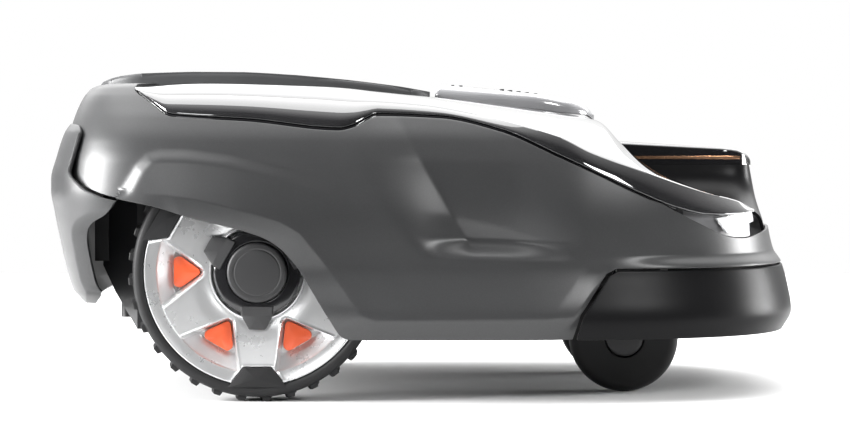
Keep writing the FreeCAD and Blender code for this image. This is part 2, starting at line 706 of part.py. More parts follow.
def to_right_caster(shape):
    made = shape.copy()
    made.rotate(V(0, 0, 0), V(1, 0, 0), 90)
    made.translate(V(CASTER_X, -CASTER_Y, CASTER_R))
    return made


def caster_bushes():
    bore = cyl(PIN_R + BORE, SWIVEL_X, -CASTER_Y, 110, 170)
    bush = cyl(12, SWIVEL_X, -CASTER_Y, 118, 148).fuse(cyl(15, SWIVEL_X, -CASTER_Y, 116, 118))
    return both(bush.cut(bore).removeSplitter())


# ---- chassis ----
TUB = [(-284, 96), (-262, 62), (-126, 62), (-112, 92), (118, 92), (130, 118), (262, 118), (292, 134), (292, 146),
       (152, 146), (144, 172), (-296, 172), (-296, 120)]
TUB_IN = [(-280, 99), (-260, 66), (-129, 66), (-115, 96), (116, 96), (128, 122), (260, 122), (288, 136), (288, 200),
          (-292, 200), (-292, 121)]
LID = [(-296, 172), (-296, 190), (144, 190), (152, 156), (292, 156), (292, 146), (152, 146), (144, 172)]
LID_IN = [(-292, 170), (-292, 186), (141, 186), (149, 152), (288, 152), (288, 140), (151, 140), (140, 172)]


def tub_plan(half_rear, half_mid, half_front, cut=0.0):
    return [(-296 + cut, -150), (-262, -half_rear), (-20, -half_rear), (0, -half_mid), (110, -half_mid),
            (150, -half_front), (262, -half_front), (292 - cut, -96), (292 - cut, 96), (262, half_front),
            (150, half_front), (110, half_mid), (0, half_mid), (-20, half_rear), (-262, half_rear), (-296 + cut, 150)]


CHASSIS_SCREWS = [(-252, 152, 64, 190), (60, 168, 94, 190), (246, 84, 120, 156)]    # x, y, floor and lid heights
KIT_HOLE_X, KIT_HOLE_Y, KIT_HOLE_R = -276.0, 120.0, 2.1
KIT_FACE_Z = 70.0
SWITCH_X, SWITCH_Z = -294.0, 150.0
LID_TOP = 190.0


def chassis_tub():
    """Lower chassis moulding: open-topped, stepped over the blades, with the lift well and caster bosses."""
    tub = side_prism(TUB, -200, 200).common(plan_prism(tub_plan(178, 186, 150), 0, 300))
    tub = tub.cut(side_prism(TUB_IN, -200, 200).common(plan_prism(tub_plan(174, 182, 146, 4), 0, 300)))
    tub = tub.fuse(cyl(60, DISC_X, 0, 92, 160)).cut(cyl(56, DISC_X, 0, 80, 200))
    for s in (-1, 1):
        y = s * CASTER_Y
        tub = tub.fuse(cyl(17, SWIVEL_X, y, 118, 146)).cut(cyl(12.0, SWIVEL_X, y, 100, 200))
        tub = tub.cut(ycyl(NOSE_R, WHEEL_X, WHEEL_Z, s * 190 - 20, s * 190 + 20))
        tub = tub.fuse(cyl(6, KIT_HOLE_X, s * KIT_HOLE_Y, KIT_FACE_Z, 132))
        tub = tub.cut(cyl(KIT_HOLE_R, KIT_HOLE_X, s * KIT_HOLE_Y, KIT_FACE_Z - 1, 112))
        for y in (100, 128, 156):
            tub = tub.fuse(box(-303, -290, s * y - 1.5, s * y + 1.5, 124, 170))
        for x, y, floor, top in CHASSIS_SCREWS:
            tub = tub.fuse(cyl(6, x, s * y, floor, top - 4)).cut(cyl(SCREW_R, x, s * y, top - 16, 200))
    tub = tub.cut(box(-240, -140, -70, 70, 60, 67))
    bezel = box(-300, -290, -14, 14, SWITCH_Z - 15, SWITCH_Z + 15)
    tub = tub.fuse(bezel).cut(box(-302, -288, -9.5, 9.5, SWITCH_Z - 11, SWITCH_Z + 11))
    tub = tub.cut(ycyl(1.5 + BORE, SWITCH_X, SWITCH_Z, -12, 12))
    return tub.removeSplitter()


def chassis_lid():
    """Upper chassis moulding that closes the tub, with a raised rim under the control panel."""
    outline = side_prism(LID, -200, 200).common(plan_prism(tub_plan(178, 186, 150), 0, 300))
    inner = side_prism(LID_IN, -200, 200).common(plan_prism(tub_plan(174, 182, 146, 4), 0, 300))
    lid = outline.cut(inner).fuse(box(-188, -22, -76, 76, 186, 236)).cut(box(-184, -26, -72, 72, 180, 240))
    for x, y, _, top in CHASSIS_SCREWS:
        for s in (-1, 1):
            lid = lid.cut(cyl(SCREW_R, x, s * y, top - 10, 200))
    return lid.removeSplitter()


def chassis_screws():
    screws = []
    for x, y, _, top in CHASSIS_SCREWS:
        screw = cyl(SCREW_R, x, -y, top - 15, top).fuse(cyl(4, x, -y, top, top + 2.6))
        screws += [screw, mirror(screw)]
    return Part.makeCompound(screws)


def control_panel():
    """Tray on the lid's riser that holds the display and the keys."""
    tray = box(-190, -20, -84, 84, 236, 256).cut(box(-186, -24, -80, 80, 236, 252))
    tray = tray.fuse(box(-190, -20, -84, 84, 236, 239).cut(box(-184, -26, -72, 72, 230, 240)))
    tray = tray.cut(box(-172, -120, -56, 56, 250, 260))
    for x, y in KEY_PLACES.values():
        tray = tray.cut(box(x - 11, x + 11, y - 11, y + 11, 250, 260))
    return tray.removeSplitter()


def display_lens():
    """Display module: a deep body under the tray and its window in the tray's opening."""
    return box(-172, -120, -56, 56, 250, 256.4).fuse(box(-175, -117, -59, 59, 243, 252)).removeSplitter()


# Middle of each key, in plan
KEY_PLACES = {"start_key": (-92, -46), "ok_key": (-92, 0), "back_key": (-92, 46), "up_key": (-52, 24),
              "down_key": (-52, -24)}


def key(x, y):
    """Key cap that stands out of the tray, with a foot that keeps it in."""
    cap = box(x - 10.5, x + 10.5, y - 10.5, y + 10.5, 246, 259)
    cap = cap.makeFillet(1.6, [e for e in cap.Edges if e.BoundBox.ZMin > 258])
    return cap.fuse(box(x - 13, x + 13, y - 13, y + 13, 246, 248)).removeSplitter()


def battery_pack():
    pack = box(-238, -142, -66, 66, 66, 108)
    return pack.makeFillet(4, pack.Edges)


def battery_cover():
    """Cover over the battery bay, flush with the belly."""
    return box(-239.5, -140.5, -69.5, 69.5, 62, 66)


def main_circuit_board():
    board = box(-270, -64, -140, 140, 166, 168)
    chips = [box(-250, -226, -40, -10, 168, 176), box(-200, -170, 60, 100, 168, 180), box(-150, -130, -90, -50, 168, 175)]
    return board.fuse(chips).removeSplitter()


def drive_motor():
    """Gearmotor of the right wheel: motor can, gearbox and bored nose through the tub wall."""
    can = ycyl(24, WHEEL_X, WHEEL_Z, -118, -72.5)
    gearbox = ycyl(32, WHEEL_X, WHEEL_Z, -172, -118)
    nose = ycyl(NOSE_R, WHEEL_X, WHEEL_Z, -196, -172)
    bore = ycyl(AXLE_R + BORE, WHEEL_X, WHEEL_Z, -200, GAP - AXLE_END_Y)
    return can.fuse(gearbox).fuse(nose).cut(bore).removeSplitter()


def bump_posts():
    """Rubber posts that carry the floating shell and return it to its middle."""
    posts = []
    for x, y in POSTS:
        post = turned([(0, 0), (12, 0), (12, 3), (7.5, 5), (6, 8), (7.5, 11), (10, 12.7), (0, 12.7)])
        post.translate(V(x, -y, LID_TOP))
        posts += [post, mirror(post)]
    return Part.makeCompound(posts)


def float_frame():
    """Ring frame that slides fore and aft on the posts."""
    outer = plan_prism([(-245, -108), (-205, -118), (60, -118), (150, -70), (150, 70), (60, 118), (-205, 118),
                        (-245, 108)], 203, 207)
    inner = plan_prism([(-208, -97), (40, -97), (112, -46), (112, 46), (40, 97), (-208, 97)], 200, 210)
    return outer.cut(inner)


def post_caps():
    """Sway frame: four caps tied by rails. It slides sideways on the float frame and the deck's feet stand on it."""
    low, high = 207 + GAP, 212
    (xr, yr), (xf, yf) = POSTS
    frame = box(xr - 3, xr + 3, -yr, yr, low, high).fuse(box(xf - 3, xf + 3, -yf, yf, low, high))
    for s in (-1, 1):
        bend = (xf - 130, yr)
        rail = plan_prism([(xr, s * yr - 3), (bend[0], s * bend[1] - 3), (xf, s * yf - 3), (xf, s * yf + 3),
                           (bend[0], s * bend[1] + 3), (xr, s * yr + 3)], low, high)
        frame = frame.fuse([rail, cyl(11, xr, s * yr, low, 215), cyl(11, xf, s * yf, low, 215)])
    return frame.removeSplitter()


def main_switch():
    """Rocker in the tail wall, on two stub pins."""
    x, z = SWITCH_X, SWITCH_Z
    rocker = side_prism([(x - 7, z - 9.2), (x - 5.2, z), (x - 7, z + 9.2), (x + 3, z + 7), (x + 3, z - 7)], -9, 9)
    return rocker.fuse(ycyl(1.5, x, z, -11.5, 11.5)).removeSplitter()


# ---- cutting unit ----
def cutting_motor():
    """Motor and carriage that the lift raises and lowers."""
    foot = BLADE_Z + 26
    can = cyl(44, DISC_X, 0, foot, foot + 74)
    collar = cyl(53, DISC_X, 0, foot + 34, foot + 42)
    shaft = cyl(5, DISC_X, 0, foot - 8, foot)
    stem = cyl(8, DISC_X, 0, foot + 74, foot + 84)
    return can.fuse(collar).fuse(shaft).fuse(stem).removeSplitter()


def lift_motor():
    """Small gearmotor and nut over the lift well, for the cutting height."""
    return box(DISC_X - 30, DISC_X + 30, -22, 22, 171.5, 186)


DISC_Z = BLADE_Z + 3          # underside of the disc
HUB_Z = BLADE_Z - 13          # lower end of the disc's hub


def blade_pivots():
    """Angle in degrees and plan position of each blade screw."""
    places = []
    for i in range(BLADES):
        degrees = 90 + 360 * i / BLADES
        a = math.radians(degrees)
        places.append((degrees, DISC_X + BLADE_PIVOT_R * math.cos(a), BLADE_PIVOT_R * math.sin(a)))
    return places


def blade_disc():
    z = DISC_Z
    disc = turned([(5, z + 3), (40, z + 3), (70, z), (DISC_R, z), (DISC_R, z + 3), (DISC_R - 6, z + 5), (72, z + 7),
                   (42, z + 15), (5, z + 15)])
    hub = turned([(5, HUB_Z), (9, HUB_Z), (9, z + 4), (5, z + 4)])
    disc = disc.fuse(hub)
    disc.translate(V(DISC_X, 0, 0))
    for _, x, y in blade_pivots():
        disc = disc.cut(cyl(2.5, x, y, z - 10, z + 20))
    return disc.removeSplitter()


def blade_screws():
    """Shoulder screws of the blades, and the big screw that holds the skid plate on the hub."""
    hub = cyl(5, DISC_X, 0, HUB_Z, HUB_Z + 23).fuse(cyl(14, DISC_X, 0, HUB_Z - 2.6, HUB_Z))
    screws = [hub]
    for _, x, y in blade_pivots():
        screws.append(cyl(2.5, x, y, BLADE_Z - 2.6, DISC_Z + 7).fuse(cyl(5, x, y, BLADE_Z - 4.6, BLADE_Z - 1.2)))
    return Part.makeCompound(screws)


def blade(degrees, x, y):
    """Razor blade, free on its screw; it points outwards at rest."""
    plate = box(-7, 30, -9, 9, BLADE_Z - 0.9, BLADE_Z)
    plate = plate.cut(cyl(2.5 + BORE, 0, 0, 20, 80)).cut(box(12, 18, -2.5, 2.5, 20, 80))
    plate.rotate(V(0, 0, 0), V(0, 0, 1), degrees)
    plate.translate(V(x, y, 0))
    return plate


def skid_plate():
    """Free-running plate under the disc, on the hub."""
    z = HUB_Z
    plate = turned([(9 + BORE, z + GAP), (50, z + GAP), (78, z + 4), (80, z + 6), (78, z + 7), (50, z + 3.5),
                    (14, z + 3.5), (14, z + 9), (9 + BORE, z + 9)])
    plate.translate(V(DISC_X, 0, 0))
    return plate


def main():
    os.makedirs(OUT, exist_ok=True)
    for old in os.listdir(OUT):
        os.remove(os.path.join(OUT, old))

    shell = [body_shell, front_bumper, rear_apron, nose_pedestal, charging_cap, charging_strips, top_deck,
             shell_screws, wing_seals, hatch_cover, hatch_hinge_pin, stop_button, stop_spring]
    chassis = [chassis_tub, chassis_lid, chassis_screws, control_panel, display_lens, battery_pack, battery_cover,
               main_circuit_board, bump_posts, caster_bushes, float_frame, post_caps, main_switch]
    cutting = [cutting_motor, lift_motor, blade_disc, blade_screws, skid_plate]
    for make in shell + chassis + cutting:
        save(make.__name__, make())
    save("headlight_lenses", both(headlight_lens()))
    save("headlight_housings", both(headlight_housing()))
    save("drive_motors", both(drive_motor()))

    right = {"wing_cover": wing_cover(), "caster_fork": caster_fork()}
    for make in (rim, tyre, window_inserts, hub_cap, axle):
        right[make.__name__] = to_right_wheel(make())
    for make in (caster_wheel, caster_cap):
        right[make.__name__] = to_right_caster(make())
    for name, shape in right.items():
        save("right_" + name, shape)
        save("left_" + name, mirror(shape))

    for name, (x, y) in KEY_PLACES.items():
        save(name, key(x, y))
    for number, place in enumerate(blade_pivots(), 1):
        save("blade_%d" % number, blade(*place))


main()
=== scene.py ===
"""Looks of the robotic lawn mower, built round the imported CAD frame.

Shapes are in millimetres until mesh_object() turns them into metres; floor, lights and camera are in metres.
x runs to the nose, y to the mower's left, z up.
"""
import json
import math
import bmesh
import bpy
import numpy as np
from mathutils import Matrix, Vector


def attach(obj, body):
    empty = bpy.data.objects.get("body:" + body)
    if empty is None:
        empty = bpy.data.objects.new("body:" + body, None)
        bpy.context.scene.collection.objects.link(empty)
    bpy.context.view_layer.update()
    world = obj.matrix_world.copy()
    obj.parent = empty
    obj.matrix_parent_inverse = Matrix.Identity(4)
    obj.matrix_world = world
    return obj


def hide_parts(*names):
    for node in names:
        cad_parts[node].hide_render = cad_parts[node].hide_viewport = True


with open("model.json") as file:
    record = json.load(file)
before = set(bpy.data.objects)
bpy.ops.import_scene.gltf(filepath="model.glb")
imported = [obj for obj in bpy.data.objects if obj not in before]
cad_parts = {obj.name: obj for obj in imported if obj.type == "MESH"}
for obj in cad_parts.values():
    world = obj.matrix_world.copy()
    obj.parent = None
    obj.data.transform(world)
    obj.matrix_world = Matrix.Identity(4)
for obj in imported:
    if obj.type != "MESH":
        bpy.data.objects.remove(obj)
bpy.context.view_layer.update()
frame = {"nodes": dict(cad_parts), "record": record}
MM = 0.001
SIDES = {"right": -1, "left": 1}
OTHER_SIDE = np.array([1, -1, 1])


# ---- section curves of the shell, in mm
XM = 20.0
NOSE_N, TAIL_N = 3.0, 6.0
NOSE = [(57, 346), (75, 355), (100, 351), (121, 345), (132, 338), (152, 333), (196, 326), (219, 321),
        (290, 300)]
TAIL = [(57, -322), (80, -330), (130, -339), (200, -337), (245, -329), (270, -321), (290, -309)]
HALF = [(57, 273), (76, 275), (124, 265), (168, 267), (215, 262), (235, 255), (256, 241), (270, 229),
        (290, 211)]
SEAM = [(-262, 284), (-246, 273), (-226, 260.5), (-155, 256), (-74, 248), (-62, 250.5), (-38, 261), (17, 259),
        (71, 247), (125, 223), (162, 206), (198, 189), (234, 175), (262, 169), (290, 168), (312, 172)]
LIP = [(205, 183.3), (215, 180), (234, 170.5), (255, 160), (284, 147.5), (299, 146), (314, 149), (336, 156)]
ARCH = [(-322, 205.5), (-305, 194.5), (-286, 187), (-273, 184), (-240, 177), (-198, 164), (-175, 159),
        (-160, 155), (-140, 148), (-127, 139.5), (-115, 127), (-108, 117.5), (-95, 96), (-82, 75),
        (-71, 59.5), (-64, 57)]
FENDER = [(-268, 196), (-258, 214), (-247, 226), (-236, 229), (-212, 229), (-171, 223.5), (-127, 214),
          (-111, 210), (-76, 199), (-59, 184), (-25, 147), (-8, 133)]
SEAM_GAP = 2.5
SKIRT_Z = 57.0
WING_TAIL = -262
BUMPER_TOP = 119.0
BUMPER_BACK = [(139.5, SKIRT_Z), (145, 77), (169, 114.5), (178, BUMPER_TOP)]

# Lines of the flank's relief
WAIST = [(-108, 211), (-76, 199), (-59, 184.5), (-25, 147), (-8, 133.5), (4.5, 130), (92, 128), (143, 126),
         (161, 124.4), (200, 124)]
RIDGE = [(-40, 178), (30, 168), (57, 162), (79, 156.5), (97, 149.5), (124, 139.5), (150, 132), (177, 130)]
ARCH_BAND = [(-250, 189), (-204, 184), (-144, 169.5), (-127, 164), (-115, 157), (-108, 152.5), (-95, 136.5),
             (-82, 119.5), (-68, 100.5), (-54, 80.5), (-42, 74.5), (4, 74.5), (150, 76.5)]


def curve(points, x):
    """Smooth monotone interpolation through (x, value) points, flat past both ends; x may be an array."""
    px = np.array([p[0] for p in points], float)
    py = np.array([p[1] for p in points], float)
    h = np.diff(px)
    d = np.diff(py) / h
    m = np.zeros(len(px))
    m[0], m[-1] = d[0], d[-1]
    same = d[:-1] * d[1:] > 0
    m[1:-1][same] = 2 * d[:-1][same] * d[1:][same] / (d[:-1][same] + d[1:][same])
    x = np.clip(np.asarray(x, float), px[0], px[-1])
    i = np.clip(np.searchsorted(px, x, side="right") - 1, 0, len(px) - 2)
    s = (x - px[i]) / h[i]
    return (py[i] * (1 + 2 * s) * (1 - s) ** 2 + h[i] * m[i] * s * (1 - s) ** 2
            + py[i + 1] * s * s * (3 - 2 * s) - h[i] * m[i + 1] * s * s * (1 - s))


def step(low, high, x):
    """Smooth rise from 0 at low to 1 at high."""
    s = np.clip((np.asarray(x, float) - low) / (high - low), 0, 1)
    return s * s * (3 - 2 * s)


def below(line, x, z):
    """Signed distance of side-view points from a line that runs towards the nose; positive under it."""
    best = np.full(np.shape(x), 1e9)
    signed = np.zeros(np.shape(x))
    for (ax, az), (bx, bz) in zip(line, line[1:]):
        dx, dz = bx - ax, bz - az
        size = math.hypot(dx, dz)
        t = np.clip(((x - ax) * dx + (z - az) * dz) / size ** 2, 0, 1)
        gap = np.hypot(x - ax - t * dx, z - az - t * dz)
        side = np.where((x - ax) * dz - (z - az) * dx >= 0, 1.0, -1.0)
        nearer = gap < best - 1e-9
        best = np.where(nearer, gap, best)
        signed = np.where(nearer, side * gap, signed)
    return signed


def soft_over(value, radius):
    """max(value, 0) with a rounded corner."""
    value = np.asarray(value, float)
    inner = (value + radius) ** 2 / (4 * radius)
    return np.where(value > radius, value, np.where(value < -radius, 0.0, inner))


def beyond(x, z, point, normal):
    """How far side-view points lie past a slanted line through a point, along a normal of any length."""
    return ((x - point[0]) * normal[0] + (z - point[1]) * normal[1]) / math.hypot(*normal)


def fender_relief(x, z):
    """Plateau round the wheel, raised along its crease and swelling towards the arch."""
    inside = below(FENDER, x, z)
    fade = 1 - step(-170, -40, x)
    rise = 3.6 * step(-1, 13, inside) + 3.0 * np.clip(inside / 60, 0, 1)
    near_wheel = (x > -275) & (x < 10) & (z < 235)
    return np.where(near_wheel, fade * rise, 0.0)


def scoop_relief(x, z):
    """Hollow of the flank behind the nose: slanted entry, floor, undercut groove and the waist's ledge."""
    rear_end = -62
    ramp = np.clip(beyond(x, z, (-25, 153.5), (83, 47)) / 54, 0, 1) ** 2
    ahead = 1 - step(80, 152, x)
    roofed = 1 - 0.7 * step(-110, -14, z - curve(SEAM, x))
    floor = 14.0 * ramp * ahead * roofed
    groove = 0.16 * soft_over(below(RIDGE, x, z), 3.0) * step(-8, 34, x)
    ledge = step(0.0, 19.0, -below(WAIST, x, z))
    gate = ledge * step(rear_end, -40, x)
    return -(floor + groove * (1 - step(140, 172, x))) * np.where(x > rear_end, gate, 0.0)


def edge_relief(x, z):
    """Bands that tuck in along the wheel arch, the skirt and the bumper, and the ledge over the bumper."""
    arch_band = 0.26 * soft_over(below(ARCH_BAND, x, z), 0.8) * step(-255, -225, x)
    arch_band = np.minimum(arch_band, 8.0) * (x < 150)
    first = 0.12 * soft_over(beyond(x, z, (121, 83), (38, -27)), 2)
    second = 0.34 * soft_over(beyond(x, z, (137, 78), (35, -25.6)), 1.0)
    by_bumper = (first + second) * (1 - step(117, 127, z)) * (1 - step(152, 176, x))
    shelf = 4.5 * (1 - step(122, 133, z)) * step(165, 230, x)
    return -arch_band - by_bumper + shelf * (1 - 0.6 * step(290, 330, x))


def relief(x, z):
    return fender_relief(x, z) + scoop_relief(x, z) + edge_relief(x, z)


def ring(angle, front, rear, half, front_n, rear_n):
    """Plan x and y of a superellipse ring at a polar angle, 0 at the nose."""
    c, s = np.cos(angle), np.abs(np.sin(angle))
    reach = np.where(c >= 0, front, rear)
    n = np.where(c >= 0, front_n, rear_n)
    r = ((np.abs(c) / reach) ** n + (s / half) ** n) ** (-1 / n)
    return XM + r * c, r * s


def ring_half(x, front, rear, half, front_n, rear_n):
    """Half width of the same ring at a plan x."""
    ahead = np.asarray(x) >= XM
    n = np.where(ahead, front_n, rear_n)
    share = np.minimum(1.0, np.abs(np.asarray(x) - XM) / np.where(ahead, front, rear))
    return half * np.maximum(0.0, 1 - share ** n) ** (1 / n)


def hull_sizes(z):
    """The hull's ring at a height: reach to nose and tail, half width, and the powers of both ends."""
    return curve(NOSE, z) - XM, XM - curve(TAIL, z), curve(HALF, z), NOSE_N, TAIL_N


ROOF = [(278, 0), (284, 1.5), (287, 6), (288.3, 14), (288.8, 28), (289, 50), (289, 75), (288.5, 98)]
ROOF_START = ROOF[0][0]
ROOF_RUN = np.concatenate([[0], np.cumsum([math.dist(a, b) for a, b in zip(ROOF, ROOF[1:])])])
RELIEF_TOP = 284


def roof(w):
    """Height and inset at w, which is the height up to the roof and then the distance run over the roof."""
    z, inset = [curve([(ROOF_START + s, p[k]) for s, p in zip(ROOF_RUN, ROOF)], w) for k in (0, 1)]
    return np.where(w <= ROOF_START, w, z), np.where(w <= ROOF_START, 0.0, inset)


def hull_point(angle, w):
    """Right half of the shell as (..., 3) in mm, relief included."""
    z, inset = roof(w)
    front, rear, half = (size - inset for size in hull_sizes(z)[:3])
    x, y = ring(angle, front, rear, half, NOSE_N, TAIL_N)
    reach = np.where(x >= XM, front, rear)
    n = np.where(x >= XM, NOSE_N, TAIL_N)
    nx = (np.abs(x - XM) / reach) ** (n - 1) / reach * np.sign(x - XM)
    ny = (y / half) ** (n - 1) / half
    size = np.hypot(nx, ny)
    out = np.where(w <= RELIEF_TOP, relief(x, z), 0.0) * step(0.02, 0.5, np.abs(ny) / size)
    return np.stack([x + out * nx / size, -(y + out * ny / size), z], -1)


def angle_at(x, z, sizes=hull_sizes):
    """Polar angle of a side-view point on the hull, or on the surface with other ring sizes."""
    return np.arctan2(ring_half(x, *sizes(z)), np.asarray(x) - XM)


def half_width(x, z):
    """Half width of the hull at a side-view point, relief included."""
    return ring_half(x, *hull_sizes(z)) + relief(x, z)


def on_line(angle, line):
    """(angle, height) where the hull crosses a side-view line at a polar angle."""
    z = np.full(np.shape(angle), 160.0)
    for _ in range(12):
        z = curve(line, ring(angle, *hull_sizes(z))[0])
    return np.stack([angle, z], -1)


def side_line(x, z, sizes=hull_sizes):
    """Side-view points as (angle, height)."""
    return np.stack([angle_at(x, z, sizes), z], -1)


def level(start, end, count, z):
    """(angle, height) points at one height between two polar angles."""
    return np.stack([np.linspace(start, end, count), np.full(count, z)], -1)


HULL_ARC = 260.0  # mm of hull to a radian, near enough to space points by


def run_along(points, scale):
    """Distance run along a polyline at each of its points, with its first coordinate scaled."""
    steps = np.hypot(np.diff(points[:, 0]) * scale, np.diff(points[:, 1]))
    return np.concatenate([[0], np.cumsum(steps)])


def resample(points, count, scale=HULL_ARC):
    """count points, evenly spaced along a polyline in (angle, height), or in mm with a scale of 1."""
    points = np.asarray(points, float)
    s = run_along(points, scale)
    at = np.linspace(0, s[-1], count)
    return np.stack([np.interp(at, s, points[:, k]) for k in (0, 1)], -1)


# ---- meshes
CRISP = math.radians(38.0)


def linked(name, data):
    """New object with this data, in the scene."""
    made = bpy.data.objects.new(name, data)
    bpy.context.collection.objects.link(made)
    return made


def mesh_object(name, shape, body, slot, replaces=(), look=None):
    """Object from a (points, faces) shape, in its slot's look if none is named; sharp bends stay crisp."""
    verts, faces = shape
    mesh = bpy.data.meshes.new(name)
    mesh.from_pydata([tuple(v) for v in np.asarray(verts, float) * MM], [], faces)
    mesh.validate()
    work = bmesh.new()
    work.from_mesh(mesh)
    bmesh.ops.remove_doubles(work, verts=work.verts, dist=1e-6)
    bmesh.ops.recalc_face_normals(work, faces=work.faces)
    for face in work.faces:
        face.smooth = True
    for edge in work.edges:
        edge.smooth = edge.calc_face_angle(0.0) < CRISP
    work.to_mesh(mesh)
    work.free()
    mesh.materials.append(MAT[look or SLOT_LOOKS[slot]])
    made = linked(name, mesh)
    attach(made, body)
    if replaces:
        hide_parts(*replaces)


def unit(v):
    """Vectors at length 1."""
    return v / np.maximum(np.linalg.norm(v, axis=-1, keepdims=True), 1e-9)


def grid_normals(grid, closed):
    """Unit normals of a grid of points; closed joins its last column to its first."""
    if closed:
        wide = np.concatenate([grid[:, -1:], grid, grid[:, :1]], 1)
        dv = np.gradient(wide, axis=1)[:, 1:-1]
    else:
        dv = np.gradient(grid, axis=1)
    return unit(np.cross(np.gradient(grid, axis=0), dv))


def tube_faces(count, cols, closed):
    """Quads of a tube of count rows that close on themselves; closed joins the last column to the first."""
    index = np.arange(count * cols).reshape(count, cols)
    left = index if closed else index[:, :-1]
    right = np.roll(index, -1, axis=1) if closed else index[:, 1:]
    up_left, up_right = np.roll(left, -1, axis=0), np.roll(right, -1, axis=0)
    return np.stack([left, right, up_right, up_left], -1).reshape(-1, 4).tolist()


ROLL_STEPS = [math.radians(a) for a in (30, 60, 90)]
ROLL_IN = [1 - math.sin(a) for a in ROLL_STEPS]
ROLL_DOWN = [1 - math.cos(a) for a in ROLL_STEPS]
FAR_END_LOOPS = 3


def rolled_border(edge, out, normal, thickness, roll):
    """Loops round a border, from the outer face to the inner face, with both corners rounded."""
    outer = [edge - out * roll * a - normal * roll * b for a, b in zip(ROLL_IN, ROLL_DOWN)]
    inner = [edge - out * roll * b - normal * (thickness - roll * a) for a, b in zip(ROLL_IN, ROLL_DOWN)]
    return outer + inner


def rolled_end(loop, out, roll):
    """A tube's loop drawn together in steps towards its own middle line."""
    middle = (loop + np.roll(loop[::-1], 1, axis=0)) / 2
    side = loop - middle
    share = np.minimum(1, roll / np.maximum(np.linalg.norm(side, axis=1, keepdims=True), 1e-6))
    drawn = [loop - out * roll * a - side * share * b for a, b in zip(ROLL_IN, ROLL_DOWN)]
    return [loop - out * roll] + drawn


def end_cap(loop):
    """Faces that close a flat tube's end, paired across its two sides."""
    faces = []
    a, b = 0, len(loop) - 1
    while b - a > 1:
        faces.append([int(v) for v in dict.fromkeys([loop[a], loop[a + 1], loop[b - 1], loop[b]])])
        a, b = a + 1, b - 1
    return faces


def shell_mesh(grid, thickness, roll, closed=False, flip=False):
    """Closed solid under a grid of outer points, with rolled borders; thickness runs against the normals."""
    normal = grid_normals(grid, closed) * (1 if flip else -1)
    last, first = grid[-1], grid[0]
    out_last, out_first = unit(last - grid[-2]), unit(first - grid[1])
    loops = [first - out_first * roll] + list(grid[1:-1]) + [last - out_last * roll]
    loops += rolled_border(last, out_last, normal[-1], thickness, roll)
    loops += [grid[i] - normal[i] * thickness for i in range(len(grid) - 2, 0, -1)]
    loops += rolled_border(first, out_first, normal[0], thickness, roll)[::-1]
    tube = np.stack(loops)
    count, cols = tube.shape[:2]
    if closed:
        return tube.reshape(-1, 3), tube_faces(count, cols, True)
    columns = [tube[:, j] for j in range(cols)]
    columns = rolled_end(columns[0], unit(columns[0] - columns[1]), roll)[::-1] + columns[1:]
    # the far end is drawn together from a loop FAR_END_LOOPS short of the border, so it is slightly recessed
    near, far = columns[-FAR_END_LOOPS - 2], columns[-FAR_END_LOOPS - 1]
    columns = columns[:-1] + rolled_end(far, unit(far - near), roll)
    cols = len(columns)
    index = np.arange(count * cols).reshape(count, cols)
    caps = end_cap(index[:, 0]) + end_cap(index[:, -1])
    return np.stack(columns, 1).reshape(-1, 3), tube_faces(count, cols, False) + caps


def mirrored(shape):
    """A (points, faces) shape and its mirror image across y = 0, in one."""
    verts, faces = shape
    return joined([shape, (verts * OTHER_SIDE, faces)])


def across(half):
    """Right-half grid whose first and last columns lie on y = 0, carried on round the left half."""
    return np.concatenate([half, half[:, -2:0:-1] * OTHER_SIDE], 1)


def lathe(profile, segments):
    """Solid of a closed profile of (r, z) points turned about local z."""
    verts, faces = [], []
    count = len(profile)
    for i in range(segments):
        a = 2 * math.pi * i / segments
        verts += [(r * math.cos(a), r * math.sin(a), z) for r, z in profile]
        j = (i + 1) % segments
        for k in range(count):
            m = (k + 1) % count
            faces.append([i * count + k, i * count + m, j * count + m, j * count + k])
    return np.array(verts, float), faces


def rounded(points, radius, steps=3, closed=True):
    """Outline with its corners rounded off; radius may be a list, one for each corner."""
    made, count = [], len(points)
    for i, corner in enumerate(points):
        r = radius[i] if isinstance(radius, (list, tuple)) else radius
        before, after = points[i - 1], points[(i + 1) % count]
        c = np.array(corner, float)
        a, b = np.array(before, float) - c, np.array(after, float) - c
        la, lb = np.linalg.norm(a), np.linalg.norm(b)
        ends = not closed and i in (0, count - 1)
        if r <= 0 or ends or min(la, lb) < 1e-6:
            made.append(tuple(c))
            continue
        cut = min(r, 0.48 * la, 0.48 * lb)
        p, q = c + a / la * cut, c + b / lb * cut
        for k in range(steps + 1):
            t = k / steps
            made.append(tuple(p * (1 - t) ** 2 + 2 * c * t * (1 - t) + q * t * t))
    return made


def stacked(rings):
    """Closed solid through rings of equal length, with a fan at both ends."""
    count = len(rings[0])
    verts = np.concatenate([np.asarray(r, float) for r in rings])
    faces = []
    for k in range(len(rings) - 1):
        for i in range(count):
            j = (i + 1) % count
            faces.append([k * count + i, k * count + j, (k + 1) * count + j, (k + 1) * count + i])
    for k in (0, len(rings) - 1):
        middle = verts[k * count:(k + 1) * count].mean(axis=0)
        verts = np.concatenate([verts, [middle]])
        hub = len(verts) - 1
        faces += [[k * count + i, k * count + (i + 1) % count, hub] for i in range(count)]
    return verts, faces


def block(outline, low, high, soften=1.0):
    """Prism over a plan outline of (a, b) between two heights, with rounded upper and lower edges."""
    outline = np.asarray(outline, float)
    middle = outline.mean(axis=0)
    reach = np.abs(outline - middle).max()
    rings = []
    for z, inset in ((low, soften), (low + 0.3 * soften, 0.3 * soften), (low + soften, 0), (high - soften, 0),
                     (high - 0.3 * soften, 0.3 * soften), (high, soften)):
        scaled = middle + (outline - middle) * (1 - inset / reach)
        rings.append([(a, b, z) for a, b in scaled])
    return stacked(rings)


